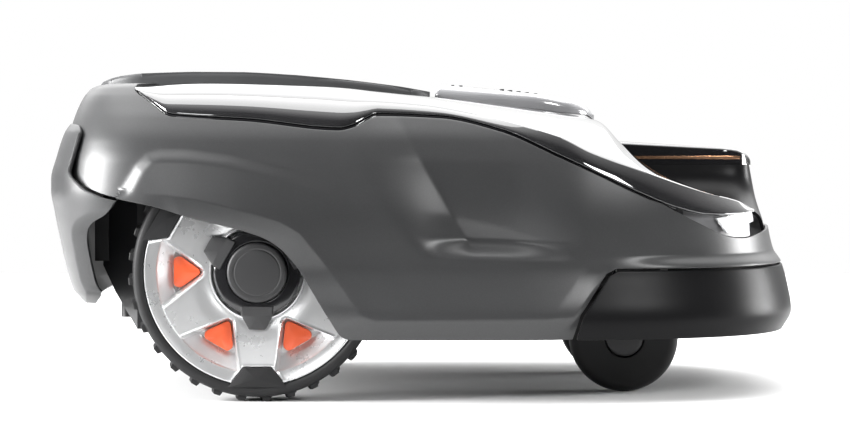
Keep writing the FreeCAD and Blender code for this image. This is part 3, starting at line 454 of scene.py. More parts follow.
def crowned(outline, foot, top, soften=1.5):
    """Closed solid over a plan outline, from foot(x) up to top(x), with a rounded upper edge."""
    outline = np.asarray(outline, float)
    middle = (outline.min(axis=0) + outline.max(axis=0)) / 2
    reach = np.abs(outline - middle).max(axis=0)

    def ring_at(inset, height):
        plan = middle + (outline - middle) * (1 - inset / reach)
        return np.stack([plan[:, 0], plan[:, 1], height(plan[:, 0])], -1)

    rings = [ring_at(0.6, foot), ring_at(0.0, lambda x: foot(x) + 0.6)]
    for a in np.radians([0, 18, 36, 54, 72, 90]):
        rings.append(ring_at(soften * (1 - math.cos(a)), lambda x: top(x) - soften * (1 - math.sin(a))))
    for share in (0.4, 0.7, 0.9):
        rings.append(ring_at(soften + share * (reach.min() - soften), top))
    return stacked(rings)


def joined(shapes):
    """Several (points, faces) shapes in one."""
    verts, faces = [], []
    for part_verts, part_faces in shapes:
        base = sum(len(v) for v in verts)
        verts.append(np.asarray(part_verts, float))
        faces += [[base + i for i in face] for face in part_faces]
    return np.concatenate(verts), faces


def turned(shape, degrees):
    """A (points, faces) shape turned about local z."""
    verts, faces = shape
    c, s = math.cos(math.radians(degrees)), math.sin(math.radians(degrees))
    x, y, z = np.asarray(verts, float).T
    return np.stack([x * c - y * s, x * s + y * c, z], -1), faces


# ---- materials
def new_material(name):
    material = bpy.data.materials.new(name)
    material.use_nodes = True
    tree = material.node_tree
    return material, tree, tree.nodes["Principled BSDF"]


def feed(tree, node, inputs):
    """Give a node's inputs their values, or join them to the outputs that feed them."""
    for name, value in inputs.items():
        if isinstance(value, bpy.types.NodeSocket):
            tree.links.new(value, node.inputs[name])
        else:
            node.inputs[name].default_value = value


def new_node(tree, kind, inputs=()):
    node = tree.nodes.new("ShaderNode" + kind)
    feed(tree, node, dict(inputs))
    return node


def noise(tree, scale, detail=2.0, roughness=0.5, coords=None):
    coords = coords or new_node(tree, "TexCoord").outputs["Object"]
    inputs = {"Scale": scale, "Detail": detail, "Roughness": roughness, "Vector": coords}
    return new_node(tree, "TexNoise", inputs).outputs["Fac"]


def ramp(tree, factor, stops):
    node = new_node(tree, "ValToRGB", {"Fac": factor})
    node.color_ramp.elements[0].position = stops[0][0]
    node.color_ramp.elements[0].color = (*stops[0][1], 1)
    node.color_ramp.elements[1].position = stops[-1][0]
    node.color_ramp.elements[1].color = (*stops[-1][1], 1)
    for position, colour in stops[1:-1]:
        node.color_ramp.elements.new(position).color = (*colour, 1)
    return node.outputs["Color"]


def spread(tree, factor, low, high):
    return new_node(tree, "MapRange", {"Value": factor, "To Min": low, "To Max": high}).outputs["Result"]


def bump(tree, height, strength, distance, under=None):
    inputs = {"Height": height, "Strength": strength, "Distance": distance}
    if under:
        inputs["Normal"] = under
    return new_node(tree, "Bump", inputs).outputs["Normal"]


def shade(colour, factor):
    """A colour made darker or lighter."""
    return tuple(min(1.0, c * factor) for c in colour)


def plastic(name, colour, rough, grain=900.0, tooth=0.25, depth=0.00006, vary=0.12, metallic=0.0,
            specular=0.5, coat=0.0, coat_rough=0.05):
    """Moulded plastic: fine grain in the surface, faint cloudy colour and uneven gloss."""
    material, tree, bsdf = new_material(name)
    tones = [(0.3, shade(colour, 1 - vary)), (0.7, shade(colour, 1 + vary))]
    gloss = spread(tree, noise(tree, 46.0, 5.0, 0.6), rough * 0.88, rough * 1.12)
    normal = bump(tree, noise(tree, grain, 2.0), tooth, depth)
    feed(tree, bsdf, {"Base Color": ramp(tree, noise(tree, 14.0, 4.0), tones), "Roughness": gloss,
                      "Normal": normal, "Metallic": metallic, "Specular IOR Level": specular,
                      "Coat Weight": coat, "Coat Roughness": coat_rough})
    return material


def flake_paint(name, colour, rough, metallic, specular):
    """Satin metallic finish: each small cell of pigment has its own brightness and tilt."""
    material, tree, bsdf = new_material(name)
    coords = new_node(tree, "TexCoord").outputs["Object"]
    flakes = new_node(tree, "TexVoronoi", {"Scale": 1900.0, "Vector": coords}).outputs["Color"]
    fleck = ramp(tree, flakes, [(0.15, shade(colour, 0.88)), (0.55, colour), (0.95, shade(colour, 1.2))])
    gloss = spread(tree, noise(tree, 30.0, 4.0, 0.6), rough * 0.92, rough * 1.1)
    tilt = bump(tree, noise(tree, 420.0, 2.0), 0.12, 0.00003, bump(tree, flakes, 0.35, 0.00002))
    feed(tree, bsdf, {"Base Color": fleck, "Roughness": gloss, "Normal": tilt, "Metallic": metallic,
                      "Specular IOR Level": specular})
    return material


def rubber(name, colour, rough):
    """Moulded rubber: matt, dusty in patches, with a fine tooth."""
    material, tree, bsdf = new_material(name)
    dust = noise(tree, 34.0, 6.0, 0.7)
    tone = ramp(tree, dust, [(0.35, colour), (0.75, shade(colour, 1.7))])
    gloss = spread(tree, dust, rough * 0.85, min(1.0, rough * 1.15))
    fine = bump(tree, noise(tree, 1400.0, 3.0, 0.7), 0.45, 0.00008)
    normal = bump(tree, noise(tree, 120.0, 3.0), 0.15, 0.0002, fine)
    feed(tree, bsdf, {"Base Color": tone, "Roughness": gloss, "Normal": normal, "Specular IOR Level": 0.4})
    return material


def metal(name, colour, rough, brushed=(1.0, 1.0, 60.0)):
    """Worked metal with fine tool marks drawn out along one axis."""
    material, tree, bsdf = new_material(name)
    coords = new_node(tree, "TexCoord").outputs["Object"]
    mapping = new_node(tree, "Mapping", {"Scale": brushed, "Vector": coords})
    marks = noise(tree, 60.0, 5.0, 0.65, mapping.outputs["Vector"])
    tone = ramp(tree, marks, [(0.3, shade(colour, 0.85)), (0.7, shade(colour, 1.1))])
    gloss = spread(tree, marks, rough * 0.8, rough * 1.25)
    normal = bump(tree, marks, 0.25, 0.00005)
    feed(tree, bsdf, {"Base Color": tone, "Roughness": gloss, "Normal": normal, "Metallic": 1.0})
    return material


def clear(name):
    """Clear moulded lens with a faint inner haze."""
    material, tree, bsdf = new_material(name)
    haze = noise(tree, 160.0, 2.0)
    tone = ramp(tree, haze, [(0.3, (0.93, 0.95, 0.97)), (0.7, (1.0, 1.0, 1.0))])
    feed(tree, bsdf, {"Base Color": tone, "Roughness": spread(tree, haze, 0.02, 0.06),
                      "Transmission Weight": 0.25, "IOR": 1.45})
    return material


MAT = {
    "shell": flake_paint("satin_shell", (0.034, 0.0345, 0.0355), 0.36, metallic=0.1, specular=0.6),
    "wing": plastic("gloss_wing", (0.02, 0.02, 0.021), 0.05, grain=300, tooth=0.01, specular=1.0,
                    coat=1.0, coat_rough=0.02),
    "hatch": plastic("hatch_grain", (0.055, 0.056, 0.058), 0.45),
    "deck": plastic("deck_grain", (0.045, 0.045, 0.048), 0.5),
    "bumper": flake_paint("bumper_satin", (0.007, 0.007, 0.0075), 0.34, metallic=0.0, specular=0.1),
    "cap": plastic("cap_gloss", (0.012, 0.012, 0.013), 0.12, tooth=0.03, specular=0.8, coat=1.0),
    "chassis": plastic("chassis_grain", (0.011, 0.011, 0.012), 0.42),
    "stop": plastic("stop_paddle_gloss", (0.3, 0.3, 0.31), 0.16, coat=1.0, specular=0.9, tooth=0.03),
    "copper": metal("contact_copper", (0.75, 0.42, 0.25), 0.25, (60.0, 1.0, 1.0)),
    "lens": clear("lamp_lens"),
    "lamp": plastic("lamp_trim", (0.16, 0.16, 0.165), 0.3, specular=0.8, tooth=0.08),
    "tyre": rubber("tyre_rubber", (0.006, 0.006, 0.0065), 0.62),
    "rim": plastic("silver_rim", (0.62, 0.625, 0.63), 0.28, grain=1400.0, tooth=0.02, depth=0.00002,
                   vary=0.03, metallic=0.65, coat=0.25),
    "orange": plastic("orange_insert", (0.85, 0.13, 0.045), 0.35, tooth=0.15, vary=0.05),
    "hub": plastic("hub_gloss", (0.012, 0.012, 0.013), 0.16, tooth=0.05, coat=0.5),
    "hub_cap": plastic("hub_cap_grain", (0.022, 0.022, 0.023), 0.5),
    "steel": metal("turned_steel", (0.5, 0.5, 0.52), 0.3),
    "blade": metal("ground_blade", (0.62, 0.62, 0.64), 0.22, (40.0, 1.0, 1.0)),
    "motor": plastic("motor_housing", (0.05, 0.05, 0.055), 0.45),
    "battery": plastic("battery_wrap", (0.04, 0.09, 0.25), 0.3, tooth=0.08),
    "board": plastic("board_green", (0.02, 0.14, 0.05), 0.35, grain=300, tooth=0.5, vary=0.3),
    "rubber": rubber("soft_rubber", (0.02, 0.02, 0.021), 0.65),
    "seal": plastic("seam_gloss", (0.006, 0.006, 0.007), 0.12, tooth=0.03, coat=0.6),
    "key": plastic("key_plastic", (0.22, 0.22, 0.23), 0.5),
    "glass": plastic("display_window", (0.008, 0.01, 0.012), 0.05, tooth=0.0, coat=1.0,
                     coat_rough=0.02),
    "bronze": metal("sintered_bronze", (0.5, 0.34, 0.16), 0.4),
}

SLOT_LOOKS = {
    "shell_grey": "shell", "wing_gloss": "wing", "hatch_grey": "hatch", "deck_black": "deck",
    "bumper_black": "bumper", "chassis_black": "chassis", "stop_paddle": "stop", "contact_copper": "copper",
    "lens_clear": "lens", "lamp_white": "lamp", "tyre_rubber": "tyre", "rim_silver": "rim",
    "insert_orange": "orange", "hub_black": "hub", "steel": "steel", "blade_steel": "blade",
    "motor_black": "motor", "battery_blue": "battery", "board_green": "board", "soft_rubber": "rubber",
    "key_grey": "key", "display_glass": "glass", "bearing_bronze": "bronze",
}


def dress_cad_nodes():
    """Every carried-over CAD node takes the look of its material slot."""
    for part in frame["record"]["subparts"]:
        node = frame["nodes"].get(part["node"])
        if node is None or node.type != "MESH":
            continue
        node.data.materials.clear()
        node.data.materials.append(MAT[SLOT_LOOKS[part["material_slot"]]])


# ---- floating shell
BORDER_CELL = 2.2
TAIL_FOOT, TAIL_TOP = 200, 284.5


def shell_borders():
    """Lower and upper border of the right half from tail to nose, with the same number of points each."""
    deg = math.radians
    arch_x = np.linspace(-322, -62, 260)
    arch = side_line(arch_x, curve(ARCH, arch_x))
    seam_x = np.linspace(WING_TAIL, 228, 400)
    seam = side_line(seam_x, curve(SEAM, seam_x) - SEAM_GAP)
    skirt = side_line(np.linspace(-62, 137.5, 60), np.full(60, SKIRT_Z))
    behind = side_line(*np.array([(x - 2, z + 2 if z > 60 else z) for x, z in BUMPER_BACK]).T)
    lip = on_line(np.linspace(angle_at(*LIP[0]), 0.0, 160), LIP)
    tail_corner, hatch_corner, deck_edge = (deg(161), TAIL_FOOT), (deg(159.1), TAIL_TOP), (deg(155.9), 336)
    over_bumper = BUMPER_TOP + 2

    def seam_part(start, end):
        return seam[(seam_x >= start) & (seam_x <= end)]

    pairs = [
        ([(deg(180), TAIL_FOOT), tail_corner], [(deg(180), TAIL_TOP), hatch_corner]),
        ([tail_corner, arch[0]], [hatch_corner, deck_edge]),
        (arch[arch_x < WING_TAIL], [deck_edge, seam[0]]),
        (arch[arch_x >= WING_TAIL - 0.5], seam_part(WING_TAIL, -62)),
        (skirt, seam_part(-62.5, 126)),
        (behind, seam_part(125.5, 180)),
        (level(behind[-1][0], deg(30), 80, over_bumper),
         np.concatenate([seam_part(179.5, 205), lip[lip[:, 0] > deg(26)]])),
        (level(deg(30), 0, 60, over_bumper), lip[lip[:, 0] <= deg(26.4)]),
    ]
    low, high = [], []
    for pair in pairs:
        under, over = (np.asarray(line, float) for line in pair)
        length = max(run_along(line, HULL_ARC)[-1] for line in (under, over))
        count = max(4, int(length / BORDER_CELL))
        low.append(resample(under, count)[:-1])
        high.append(resample(over, count)[:-1])
    low.append(np.array([[0.0, over_bumper]]))
    high.append(lip[-1:])
    return np.concatenate(low), np.concatenate(high)


def body_shell():
    """The painted shell, from its lower border over the flanks to the seam and the hatch."""
    low, high = shell_borders()
    t = np.linspace(0, 1, 105)[:, None, None]
    param = low[None] * (1 - t) + high[None] * t
    half = hull_point(param[..., 0], param[..., 1])
    shape = shell_mesh(across(half), 3.0, 0.9, closed=True)
    mesh_object("shell_skin", shape, "shell", "shell_grey", ["body_shell"])


APRON_TAIL = [(85, -315), (91.5, -321), (97, -326), (112.5, -331), (145, -338), (171, -343), (190, -346),
              (200, -346), (221, -341), (243, -334), (252, -328.5)]
APRON_HALF = [(80, 252), (130, 262), (190, 269), (243, 256), (252, 246)]
APRON_FRONT = [(-303, 86), (-293, 96), (-299.5, 104), (-304, 125), (-307, 144), (-306, 154), (-299.5, 161),
               (-284, 168.5), (-278.5, 173.5), (-273, 181.5)]
APRON_TOP = [(-324, 252), (-313, 250.5), (-311, 246), (-321, 208), (-317.5, 202), (-305, 191.5), (-286, 184),
             (-273, 181.5)]
APRON_FOOT = 85.0


def apron_sizes(z):
    """The apron's ring at a height, as in hull_sizes()."""
    reach = XM - curve(APRON_TAIL, z)
    return reach, reach, curve(APRON_HALF, z), TAIL_N, TAIL_N


def apron_line(points, count):
    """Side-view line on the apron as (angle, height)."""
    return side_line(*resample(points, count, 1.0).T, apron_sizes)


def rear_apron():
    """Proud band round the tail: a patch between foot, top line, the tail's middle and the front edge."""
    rows, cols = 110, 190
    crown = APRON_TOP[0][1]
    front = apron_line(rounded(APRON_FRONT, 6, 4, closed=False), rows)
    foot = level(math.pi, front[0][0], cols, APRON_FOOT)
    side = apron_line(rounded(APRON_TOP, 4, 4, closed=False), 90)
    top = resample(np.concatenate([level(math.pi, side[0][0], 40, crown)[:-1], side]), cols)
    middle = np.stack([np.full(rows, math.pi), np.linspace(APRON_FOOT, crown, rows)], -1)
    u = np.linspace(0, 1, cols)[None, :, None]
    v = np.linspace(0, 1, rows)[:, None, None]
    corners = (1 - u) * (1 - v) * foot[0] + u * (1 - v) * foot[-1] + (1 - u) * v * top[0] + u * v * top[-1]
    patch = foot[None] * (1 - v) + top[None] * v + middle[:, None] * (1 - u) + front[:, None] * u - corners
    angle, z = patch[..., 0], patch[..., 1]
    x, y = ring(angle, *apron_sizes(z))
    from_edge = np.hypot(x - x[:, -1:], y - y[:, -1:])
    low_bevel = 0.42 * soft_over(17 - from_edge, 0.8) * (1 - step(150, 176, z))
    bevel = low_bevel + 0.8 * soft_over(7 - from_edge, 1.0) * step(184, 200, z)
    right = np.stack([x + 0.6 * bevel, -(y - bevel), z], -1)
    grid = np.concatenate([right[:, :0:-1] * OTHER_SIDE, right], 1)
    mesh_object("tail_apron", shell_mesh(grid, 4.0, 1.4), "shell", "shell_grey", ["rear_apron"])


def front_bumper():
    """Soft bumper round the nose, up to the ledge of the shell."""
    half_cols = 150
    z_rows = np.concatenate([np.linspace(SKIRT_Z, 74, 9), np.linspace(76, BUMPER_TOP, 21)])
    back_x, back_z = np.array(BUMPER_BACK, float).T
    start = angle_at(np.interp(z_rows, back_z, back_x), z_rows)
    angle = start[:, None] * (1 - np.linspace(0, 1, half_cols)[None])
    z = np.repeat(z_rows[:, None], half_cols, 1)
    x, y = ring(angle, *hull_sizes(z))
    right = np.stack([x, -y, z], -1)
    grid = np.concatenate([right, right[:, -2::-1] * OTHER_SIDE], 1)
    mesh_object("bumper_skin", shell_mesh(grid, 4.0, 1.4), "shell", "bumper_black", ["front_bumper"])


# ---- wing covers
INNER_Y = [(-262, 128), (-100, 125), (0, 114), (60, 88), (168, 74), (200, 66), (240, 68), (270, 80),
           (300, 106)]
INNER_Z = [(-262, 285), (-200, 288), (-100, 285), (0, 277), (60, 271), (130, 262), (168, 254), (185, 236),
           (205, 216), (240, 196), (270, 182), (300, 168)]
CREST_Z = [(-262, 286), (-200, 288), (-100, 285), (0, 277), (60, 271), (130, 264.5), (166, 260), (212, 236),
           (259, 206), (296, 184), (312, 172)]
SHOULDER_Z = [(-262, 286), (-100, 276), (0, 268), (60, 257), (127, 239.5), (155, 226), (201, 209.5),
              (238, 196.5), (265, 188), (296, 180), (312, 172)]


OUTER_RUN, INNER_RUN = 574, 562


def wing_grid():
    """Right wing cover: a soft crown at the tail that sharpens into a side and a top face at the nose."""
    u = np.linspace(0, 1, 300)[None, :]
    v = np.linspace(0, 1, 56)[:, None]
    xa, xb = WING_TAIL + OUTER_RUN * u, WING_TAIL + INNER_RUN * u
    za = curve(SEAM, xa)
    ya = half_width(xa, za)
    zb, yb = curve(INNER_Z, xb), curve(INNER_Y, xb)

    # soft crown: a cubic curve whose middle lies on the crest line
    high = (curve(CREST_Z, (xa + xb) / 2) - 0.125 * (za + zb)) / 0.75
    w = (1 - v) ** 3, 3 * v * (1 - v) ** 2, 3 * v * v * (1 - v), v ** 3
    soft_y = w[0] * ya + w[1] * (ya - 4) + w[2] * (yb + 0.45 * (ya - yb)) + w[3] * yb
    rise = 0.75 * np.maximum(high - za, 0.0)
    soft_z = w[0] * za + w[1] * (za + rise) + w[2] * np.maximum(zb, high) + w[3] * zb

    # two faces that meet at the shoulder line
    shoulder = np.maximum(curve(SHOULDER_Z, xa), za + 0.5)
    split = 0.28
    t_side = np.clip(v / split, 0, 1)
    t_top = np.clip((v - split) / (1 - split), 0, 1)
    lean = 5 + 0.12 * (shoulder - za)
    belly = 0.5 * (zb + shoulder) + 0.35 * np.abs(zb - shoulder) + 2
    top_z = shoulder * (1 - t_top) ** 2 + 2 * t_top * (1 - t_top) * belly + zb * t_top ** 2
    hard_y = np.where(v < split, ya - lean * t_side ** 1.5, (ya - lean) + (yb - ya + lean) * t_top)
    hard_z = np.where(v < split, za + (shoulder - za) * t_side, top_z)

    firm = step(-60, 110, xa)
    y = soft_y * (1 - firm) + hard_y * firm
    z = soft_z * (1 - firm) + hard_z * firm
    return np.stack([xa + (xb - xa) * v, -y, z], -1)


LENS_LOW = [(280, 151.5), (309, 161)]
LENS_HIGH = [(270, 165), (308, 170.6)]


def lens_covers():
    """Slanted clear lens under each wing tip, with two fine steps across it."""
    u = np.linspace(0, 1, 40)[None, :]
    v = np.linspace(0, 1, 24)[:, None]
    x, z = [(LENS_LOW[0][k] * (1 - u) + LENS_LOW[1][k] * u) * (1 - v)
            + (LENS_HIGH[0][k] * (1 - u) + LENS_HIGH[1][k] * u) * v for k in (0, 1)]
    ledge = 0.9 * step(0.3, 0.36, v) + 0.9 * step(0.62, 0.68, v)
    y = half_width(x, z) - 2.0 - ledge
    for side, sign in SIDES.items():
        shape = shell_mesh(np.stack([x, sign * y, z], -1), 2.4, 0.5, flip=sign > 0)
        mesh_object(side + "_lens", shape, "shell", "lens_clear", ["headlight_lenses"])


def wing_covers():
    grid = wing_grid()
    for side, sign in SIDES.items():
        shape = shell_mesh(grid * np.array([1, -sign, 1]), 2.6, 0.8, flip=sign > 0)
        mesh_object(side + "_wing", shape, "shell", "wing_gloss", [side + "_wing_cover"])


SEAM_PROFILE = [(-4.5, 4.2), (-2.6, 2.6), (-1.6, 2.1), (-0.6, 2.4), (1.2, 4.0)]


def seam_trim():
    """Gloss black bead in the joint between flank and wing, from (rise, depth) pairs at the seam."""
    x = np.linspace(-258, 232, 320)
    z = curve(SEAM, x)
    rows = [np.stack([x, -(half_width(x, z + rise) - depth), z + rise], -1) for rise, depth in SEAM_PROFILE]
    shape = mirrored(shell_mesh(np.stack(rows), 1.2, 0.3))
    mesh_object("seam_trim", shape, "shell", "soft_rubber", ["wing_seals"], "seal")


# ---- hatch and stop paddle
HATCH_TOP = [(-306, 285), (-300, 291), (-283, 296), (-262, 298.5), (-214, 300), (-166, 299.7), (-118, 297),
             (-69, 292.5), (-21, 286.5), (8, 281.5)]
HATCH_FOOT = [(-306, 281), (-262, 284), (-200, 286), (-100, 283), (8, 272)]
HATCH_HALF = [(-306, 92), (-292, 112), (-262, 122), (-100, 119), (-10, 110), (8, 96)]


HATCH_TAIL, HATCH_FRONT = -306, 8
HATCH_EDGE = 3.5


def hatch_skin():
    """Crowned cover; its side walls run down to the wing covers and its edge is rounded."""
    x = np.linspace(HATCH_TAIL, HATCH_FRONT, 150)
    half = curve(HATCH_HALF, x)
    top, foot = curve(HATCH_TOP, x), curve(HATCH_FOOT, x)
    rows = [(half, foot + (top - HATCH_EDGE - foot) * a) for a in np.linspace(0, 1, 9)]
    for a in np.radians([22, 45, 68, 90]):
        rows.append((half - HATCH_EDGE * (1 - np.cos(a)), top - HATCH_EDGE * (1 - np.sin(a))))
    rows += [((half - HATCH_EDGE) * a, top) for a in np.linspace(0.94, 0, 24)]
    right = np.stack([np.stack([x, -y, np.maximum(z, foot + 0.2)], -1) for y, z in rows])
    grid = np.concatenate([right, right[-2::-1] * OTHER_SIDE], 0)
    mesh_object("hatch_skin", shell_mesh(grid, 2.8, 0.8), "hatch", "hatch_grey")


STOP_TOP = [(13, 285.5), (20, 288), (51, 286.5), (100, 281), (149, 272.5), (160, 268), (168, 262.5)]
STOP_FOOT = [(13, 274.5), (51, 272.5), (149, 260.5), (168, 259.5)]
STOP_PLAN = [(13, -58), (120, -54), (146, -46), (161, -30), (168, -12), (168, 12), (161, 30), (146, 46),
             (120, 54), (13, 58)]
STEM_X, STEM_R, STEM_LOW, STEM_TOP = 90.0, 7.0, 246.0, 275.0
STOP_RIBS = (30.0, 38.0, 78.0, 86.0, 94.0, 102.0, 110.0)
RIB_HALF, RIB_REACH = 1.6, 38


def stop_paddle():
    """Long glossy paddle on its round stem, with plain raised grip ribs across its top."""
    outline = rounded(STOP_PLAN, [3, 12, 12, 12, 10, 10, 12, 12, 12, 3], 5)
    body = crowned(outline, lambda x: curve(STOP_FOOT, x), lambda x: curve(STOP_TOP, x), 8.0)
    stem, faces = lathe([(0.001, STEM_LOW), (STEM_R, STEM_LOW), (STEM_R, STEM_TOP), (0.001, STEM_TOP)], 48)
    shape = joined([body, (stem + np.array([STEM_X, 0, 0]), faces)])
    mesh_object("stop_paddle", shape, "stop_paddle", "stop_paddle", ["stop_button"])
    ribs = []
    for x in STOP_RIBS:
        z = float(curve(STOP_TOP, x))
        corners = [(x + a * RIB_HALF, b * RIB_REACH) for a, b in ((-1, -1), (1, -1), (1, 1), (-1, 1))]
        ribs.append(block(rounded(corners, 1.2, 3), z - 1.5, z + 0.9, 0.5))
    mesh_object("stop_ribs", joined(ribs), "stop_paddle", "soft_rubber")


CAP_TOP = [(178, 234), (192, 234), (219, 232.5), (267, 229.5), (297, 227.5), (312, 223), (318, 218)]
CAP_PLAN = [(178, -57), (292, -57), (308, -50), (318, -34), (318, 34), (308, 50), (292, 57), (178, 57)]
CAP_FOOT = 211.0
CONTACT_LINE = [(198, -57.3), (292, -57.3), (306, -51.4)]
CONTACT_Z = (217.6, 220.4)


def dock_cap():
    """Cap of the charging pedestal, with one thin copper contact along each side."""
    outline = rounded(CAP_PLAN, [1, 5, 5, 5, 5, 5, 5, 1], 5)
    shape = crowned(outline, lambda x: np.full_like(x, CAP_FOOT), lambda x: curve(CAP_TOP, x), 3.2)
    mesh_object("dock_cap", shape, "shell", "hatch_grey", ["charging_cap"], "cap")
    inner = [(x - 0.4, y + 1.2) for x, y in reversed(CONTACT_LINE)]
    contacts = mirrored(block(CONTACT_LINE + inner, *CONTACT_Z, 0.3))
    mesh_object("contact_lines", contacts, "shell", "contact_copper", ["charging_strips"])


# ---- drive wheels
WHEEL_CENTRE = (-148.0, 221.0, 117.0)
NOTCHES = (-90, 30, 150)
WINDOWS = (0, 60, 120, 180, 240, 300)
LUGS, LUG_SHIFT = 32, 2.5


def placed(shape, sign, centre):
    """A shape round local z moved to a wheel's centre; local z becomes that side's outward direction."""
    verts, faces = shape
    v = np.asarray(verts, float)
    return np.stack([centre[0] + v[:, 0], sign * (centre[1] + v[:, 2]), centre[2] + v[:, 1]], -1), faces


def on_both_sides(pieces, body, centre):
    """Make each (name, shape, slot, replaced nodes) on either side; a fifth item is its own look."""
    for side, sign in SIDES.items():
        for name, shape, slot, replaced, *look in pieces:
            nodes = [side + "_" + node for node in replaced]
            mesh_object(side + "_" + name, placed(shape, sign, centre), side + "_" + body, slot, nodes, *look)


def window_gap(r, a):
    """Signed distance from a window's edge, negative inside: an outward wedge with a rounded apex."""
    apex, slope, corner = 46.0, math.radians(38), 5.0
    px, py = r * np.cos(a), np.abs(r * np.sin(a))
    flank = -(px - apex) * math.sin(slope) + py * math.cos(slope)
    along = (px - apex) * math.cos(slope) + py * math.sin(slope)
    centre = apex + corner / math.sin(slope)
    return np.where(along < corner / math.tan(slope), np.hypot(px - centre, py) - corner, flank)


NOTCH_R, NOTCH_HALF = 85.5, 12.4


def notch_gap(r, a):
    """Signed distance from the nearest notch of the tyre, negative inside."""
    best = np.full(np.shape(r), 99.0)
    for degrees in NOTCHES:
        turn = a - math.radians(degrees)
        u, v = r * np.cos(turn), np.abs(r * np.sin(turn))
        flank = -0.63 * (u - NOTCH_R) + 0.777 * (v - NOTCH_HALF)
        best = np.minimum(best, np.where(u > 0, np.maximum(NOTCH_R - u, flank), 99.0))
    return best


def rim_face(r, a):
    """Height of the rim's face at a polar point: hub fillet, spokes, windows, outer band and bright lips."""
    sector = np.mod(a + math.pi / 6, math.pi / 3) - math.pi / 6
    gap = window_gap(r, sector)
    spoke = 22 - 4.0 * np.clip(1 - (r - 44) / 20, 0, 1) ** 2
    band = 20.4 + 2.2 * np.clip((r - 91.5) / 9.5, 0, 1) ** 1.5
    floor = 6.0 + 14.4 * np.clip((r - 77.5) / 14.5, 0, 1) ** 1.2
    wall = np.clip(-gap / 2.4, 0, 1)
    pocket = spoke - (spoke - np.minimum(floor, spoke)) * wall ** 0.8
    lip = 0.8 * np.exp(-((gap - 0.7) / 0.7) ** 2) * step(45, 48, r)
    inner = np.where(gap < 0, pocket, spoke + lip)
    z = inner + (band - inner) * step(90.6, 91.4, r)
    notch = notch_gap(r, a)
    return np.where(notch < 0, 16.0, z + 1.0 * np.exp(-((notch - 1.0) / 0.8) ** 2))


RIM_LIP = [(41.6, 20.6), (42.2, 21.6), (43.2, 21.4), (43.8, 19.6)]
RIM_BACK = [(102.5, -22), (99, -24), (92, -22), (88, 3), (30, 1), (30, -12), (16.5, -12), (16.5, 14),
            (40.6, 14), (41.0, 19.5)]
RIM_EDGE = 101.4


def rim_mesh():
    """Rim turned round local z: the lip at the hub, the modelled face, then the outer edge and the back."""
    a = np.linspace(0, 2 * math.pi, 600, endpoint=False)
    edge_z = np.maximum(rim_face(np.full_like(a, RIM_EDGE), a), 16.0)
    face = [(r, rim_face(np.full_like(a, r), a)) for r in np.linspace(44, RIM_EDGE, 92)]
    rings = RIM_LIP + face + [(102.1, edge_z - 0.4), (102.5, edge_z - 1.4)] + RIM_BACK
    grid = np.stack([np.stack([r * np.cos(a), r * np.sin(a), z + 0 * a], -1) for r, z in rings])
    return grid.reshape(-1, 3), tube_faces(*grid.shape[:2], True)


def window_insert(angle):
    """Rounded triangular pad at the bottom of a window."""
    corners = [(49.5, 0), (70.5, 14.6), (76.3, 12.6), (76.3, -12.6), (70.5, -14.6)]
    return turned(block(rounded(corners, [7, 5, 3, 3, 5], 5), 2.0, 10.4, 0.9), angle)


def tyre_key(angle):
    """Trapezoid of the tyre that fills a notch of the rim."""
    corners = [(NOTCH_R, -NOTCH_HALF), (NOTCH_R, NOTCH_HALF), (97.7, 22.3), (104, 26.5), (104, -26.5),
               (97.7, -22.3)]
    return turned(block(rounded(corners, [1.5, 1.5, 0.5, 0.5, 0.5, 0.5], 3), 5.0, 23.4, 0.7), angle)


LUG_TOP, LUG_END_TOP = 117.0, 116.2


def tread_lug(angle):
    """Tread block with slanted flanks; its two halves form a shallow chevron."""
    rings = []
    for z, shift in ((-18.5, 1.6), (-17.5, 1.5), (-9, 0.9), (0, 0.0), (9, 0.9), (16.5, 1.5), (17.5, 1.6)):
        top = LUG_END_TOP if abs(z) > 17 else LUG_TOP
        c, s = math.cos(math.radians(shift)), math.sin(math.radians(shift))
        section = [(110.5, -4.4), (114.5, -3.7), (top, -3.0), (top, 3.0), (114.5, 3.7), (110.5, 4.4)]
        rings.append([(r * c - b * s, r * s + b * c, z) for r, b in section])
    return turned(stacked(rings), angle)


def tyre_mesh():
    """Tyre body, the keys in the rim's notches and the tread."""
    profile = rounded([(102.6, -23), (104, -24.5), (110, -23.5), (113, -19), (113, 18), (111, 22.2),
                       (107, 23.4), (104, 22.6), (102.6, 20.5)], 1.4, 3)
    lugs = [tread_lug(-90 + LUG_SHIFT + 360 * i / LUGS) for i in range(LUGS)]
    return joined([lathe(profile, 192)] + [tyre_key(a) for a in NOTCHES] + lugs)


def hub_ring_mesh():
    profile = [(27.6, 16), (39.3, 16), (39.3, 23.5), (37.5, 24.8), (28.6, 25.6), (27.6, 25.0)]
    return lathe(rounded(profile, 0.6, 2), 128)


def hub_arm(angle):
    """Dark facet of the hub over a spoke."""
    low = rounded([(30, -15.5), (30, 15.5), (38, 14.6), (51.5, 7.5), (51.5, -7.5), (38, -14.6)], 1.2, 2)
    high = rounded([(31, -14), (31, 14), (38, 13), (50.2, 6.4), (50.2, -6.4), (38, -13)], 1.2, 2)
    rings = [[(*p, z) for p in low] for z in (18.0, 24.2)]
    rings.append([(a, b, 26.9 - 0.12 * (a - 31)) for a, b in high])
    return turned(stacked(rings), angle)


def hub_cap_mesh():
    profile = [(0.001, 29.4), (20, 29.4), (21, 28.9), (22, 29.4), (25.6, 29.2), (27.0, 27.8), (27.2, 20),
               (0.001, 20)]
    return lathe(rounded(profile, [0, 0.4, 0.3, 0.4, 1.2, 0.6, 0, 0], 2), 128)


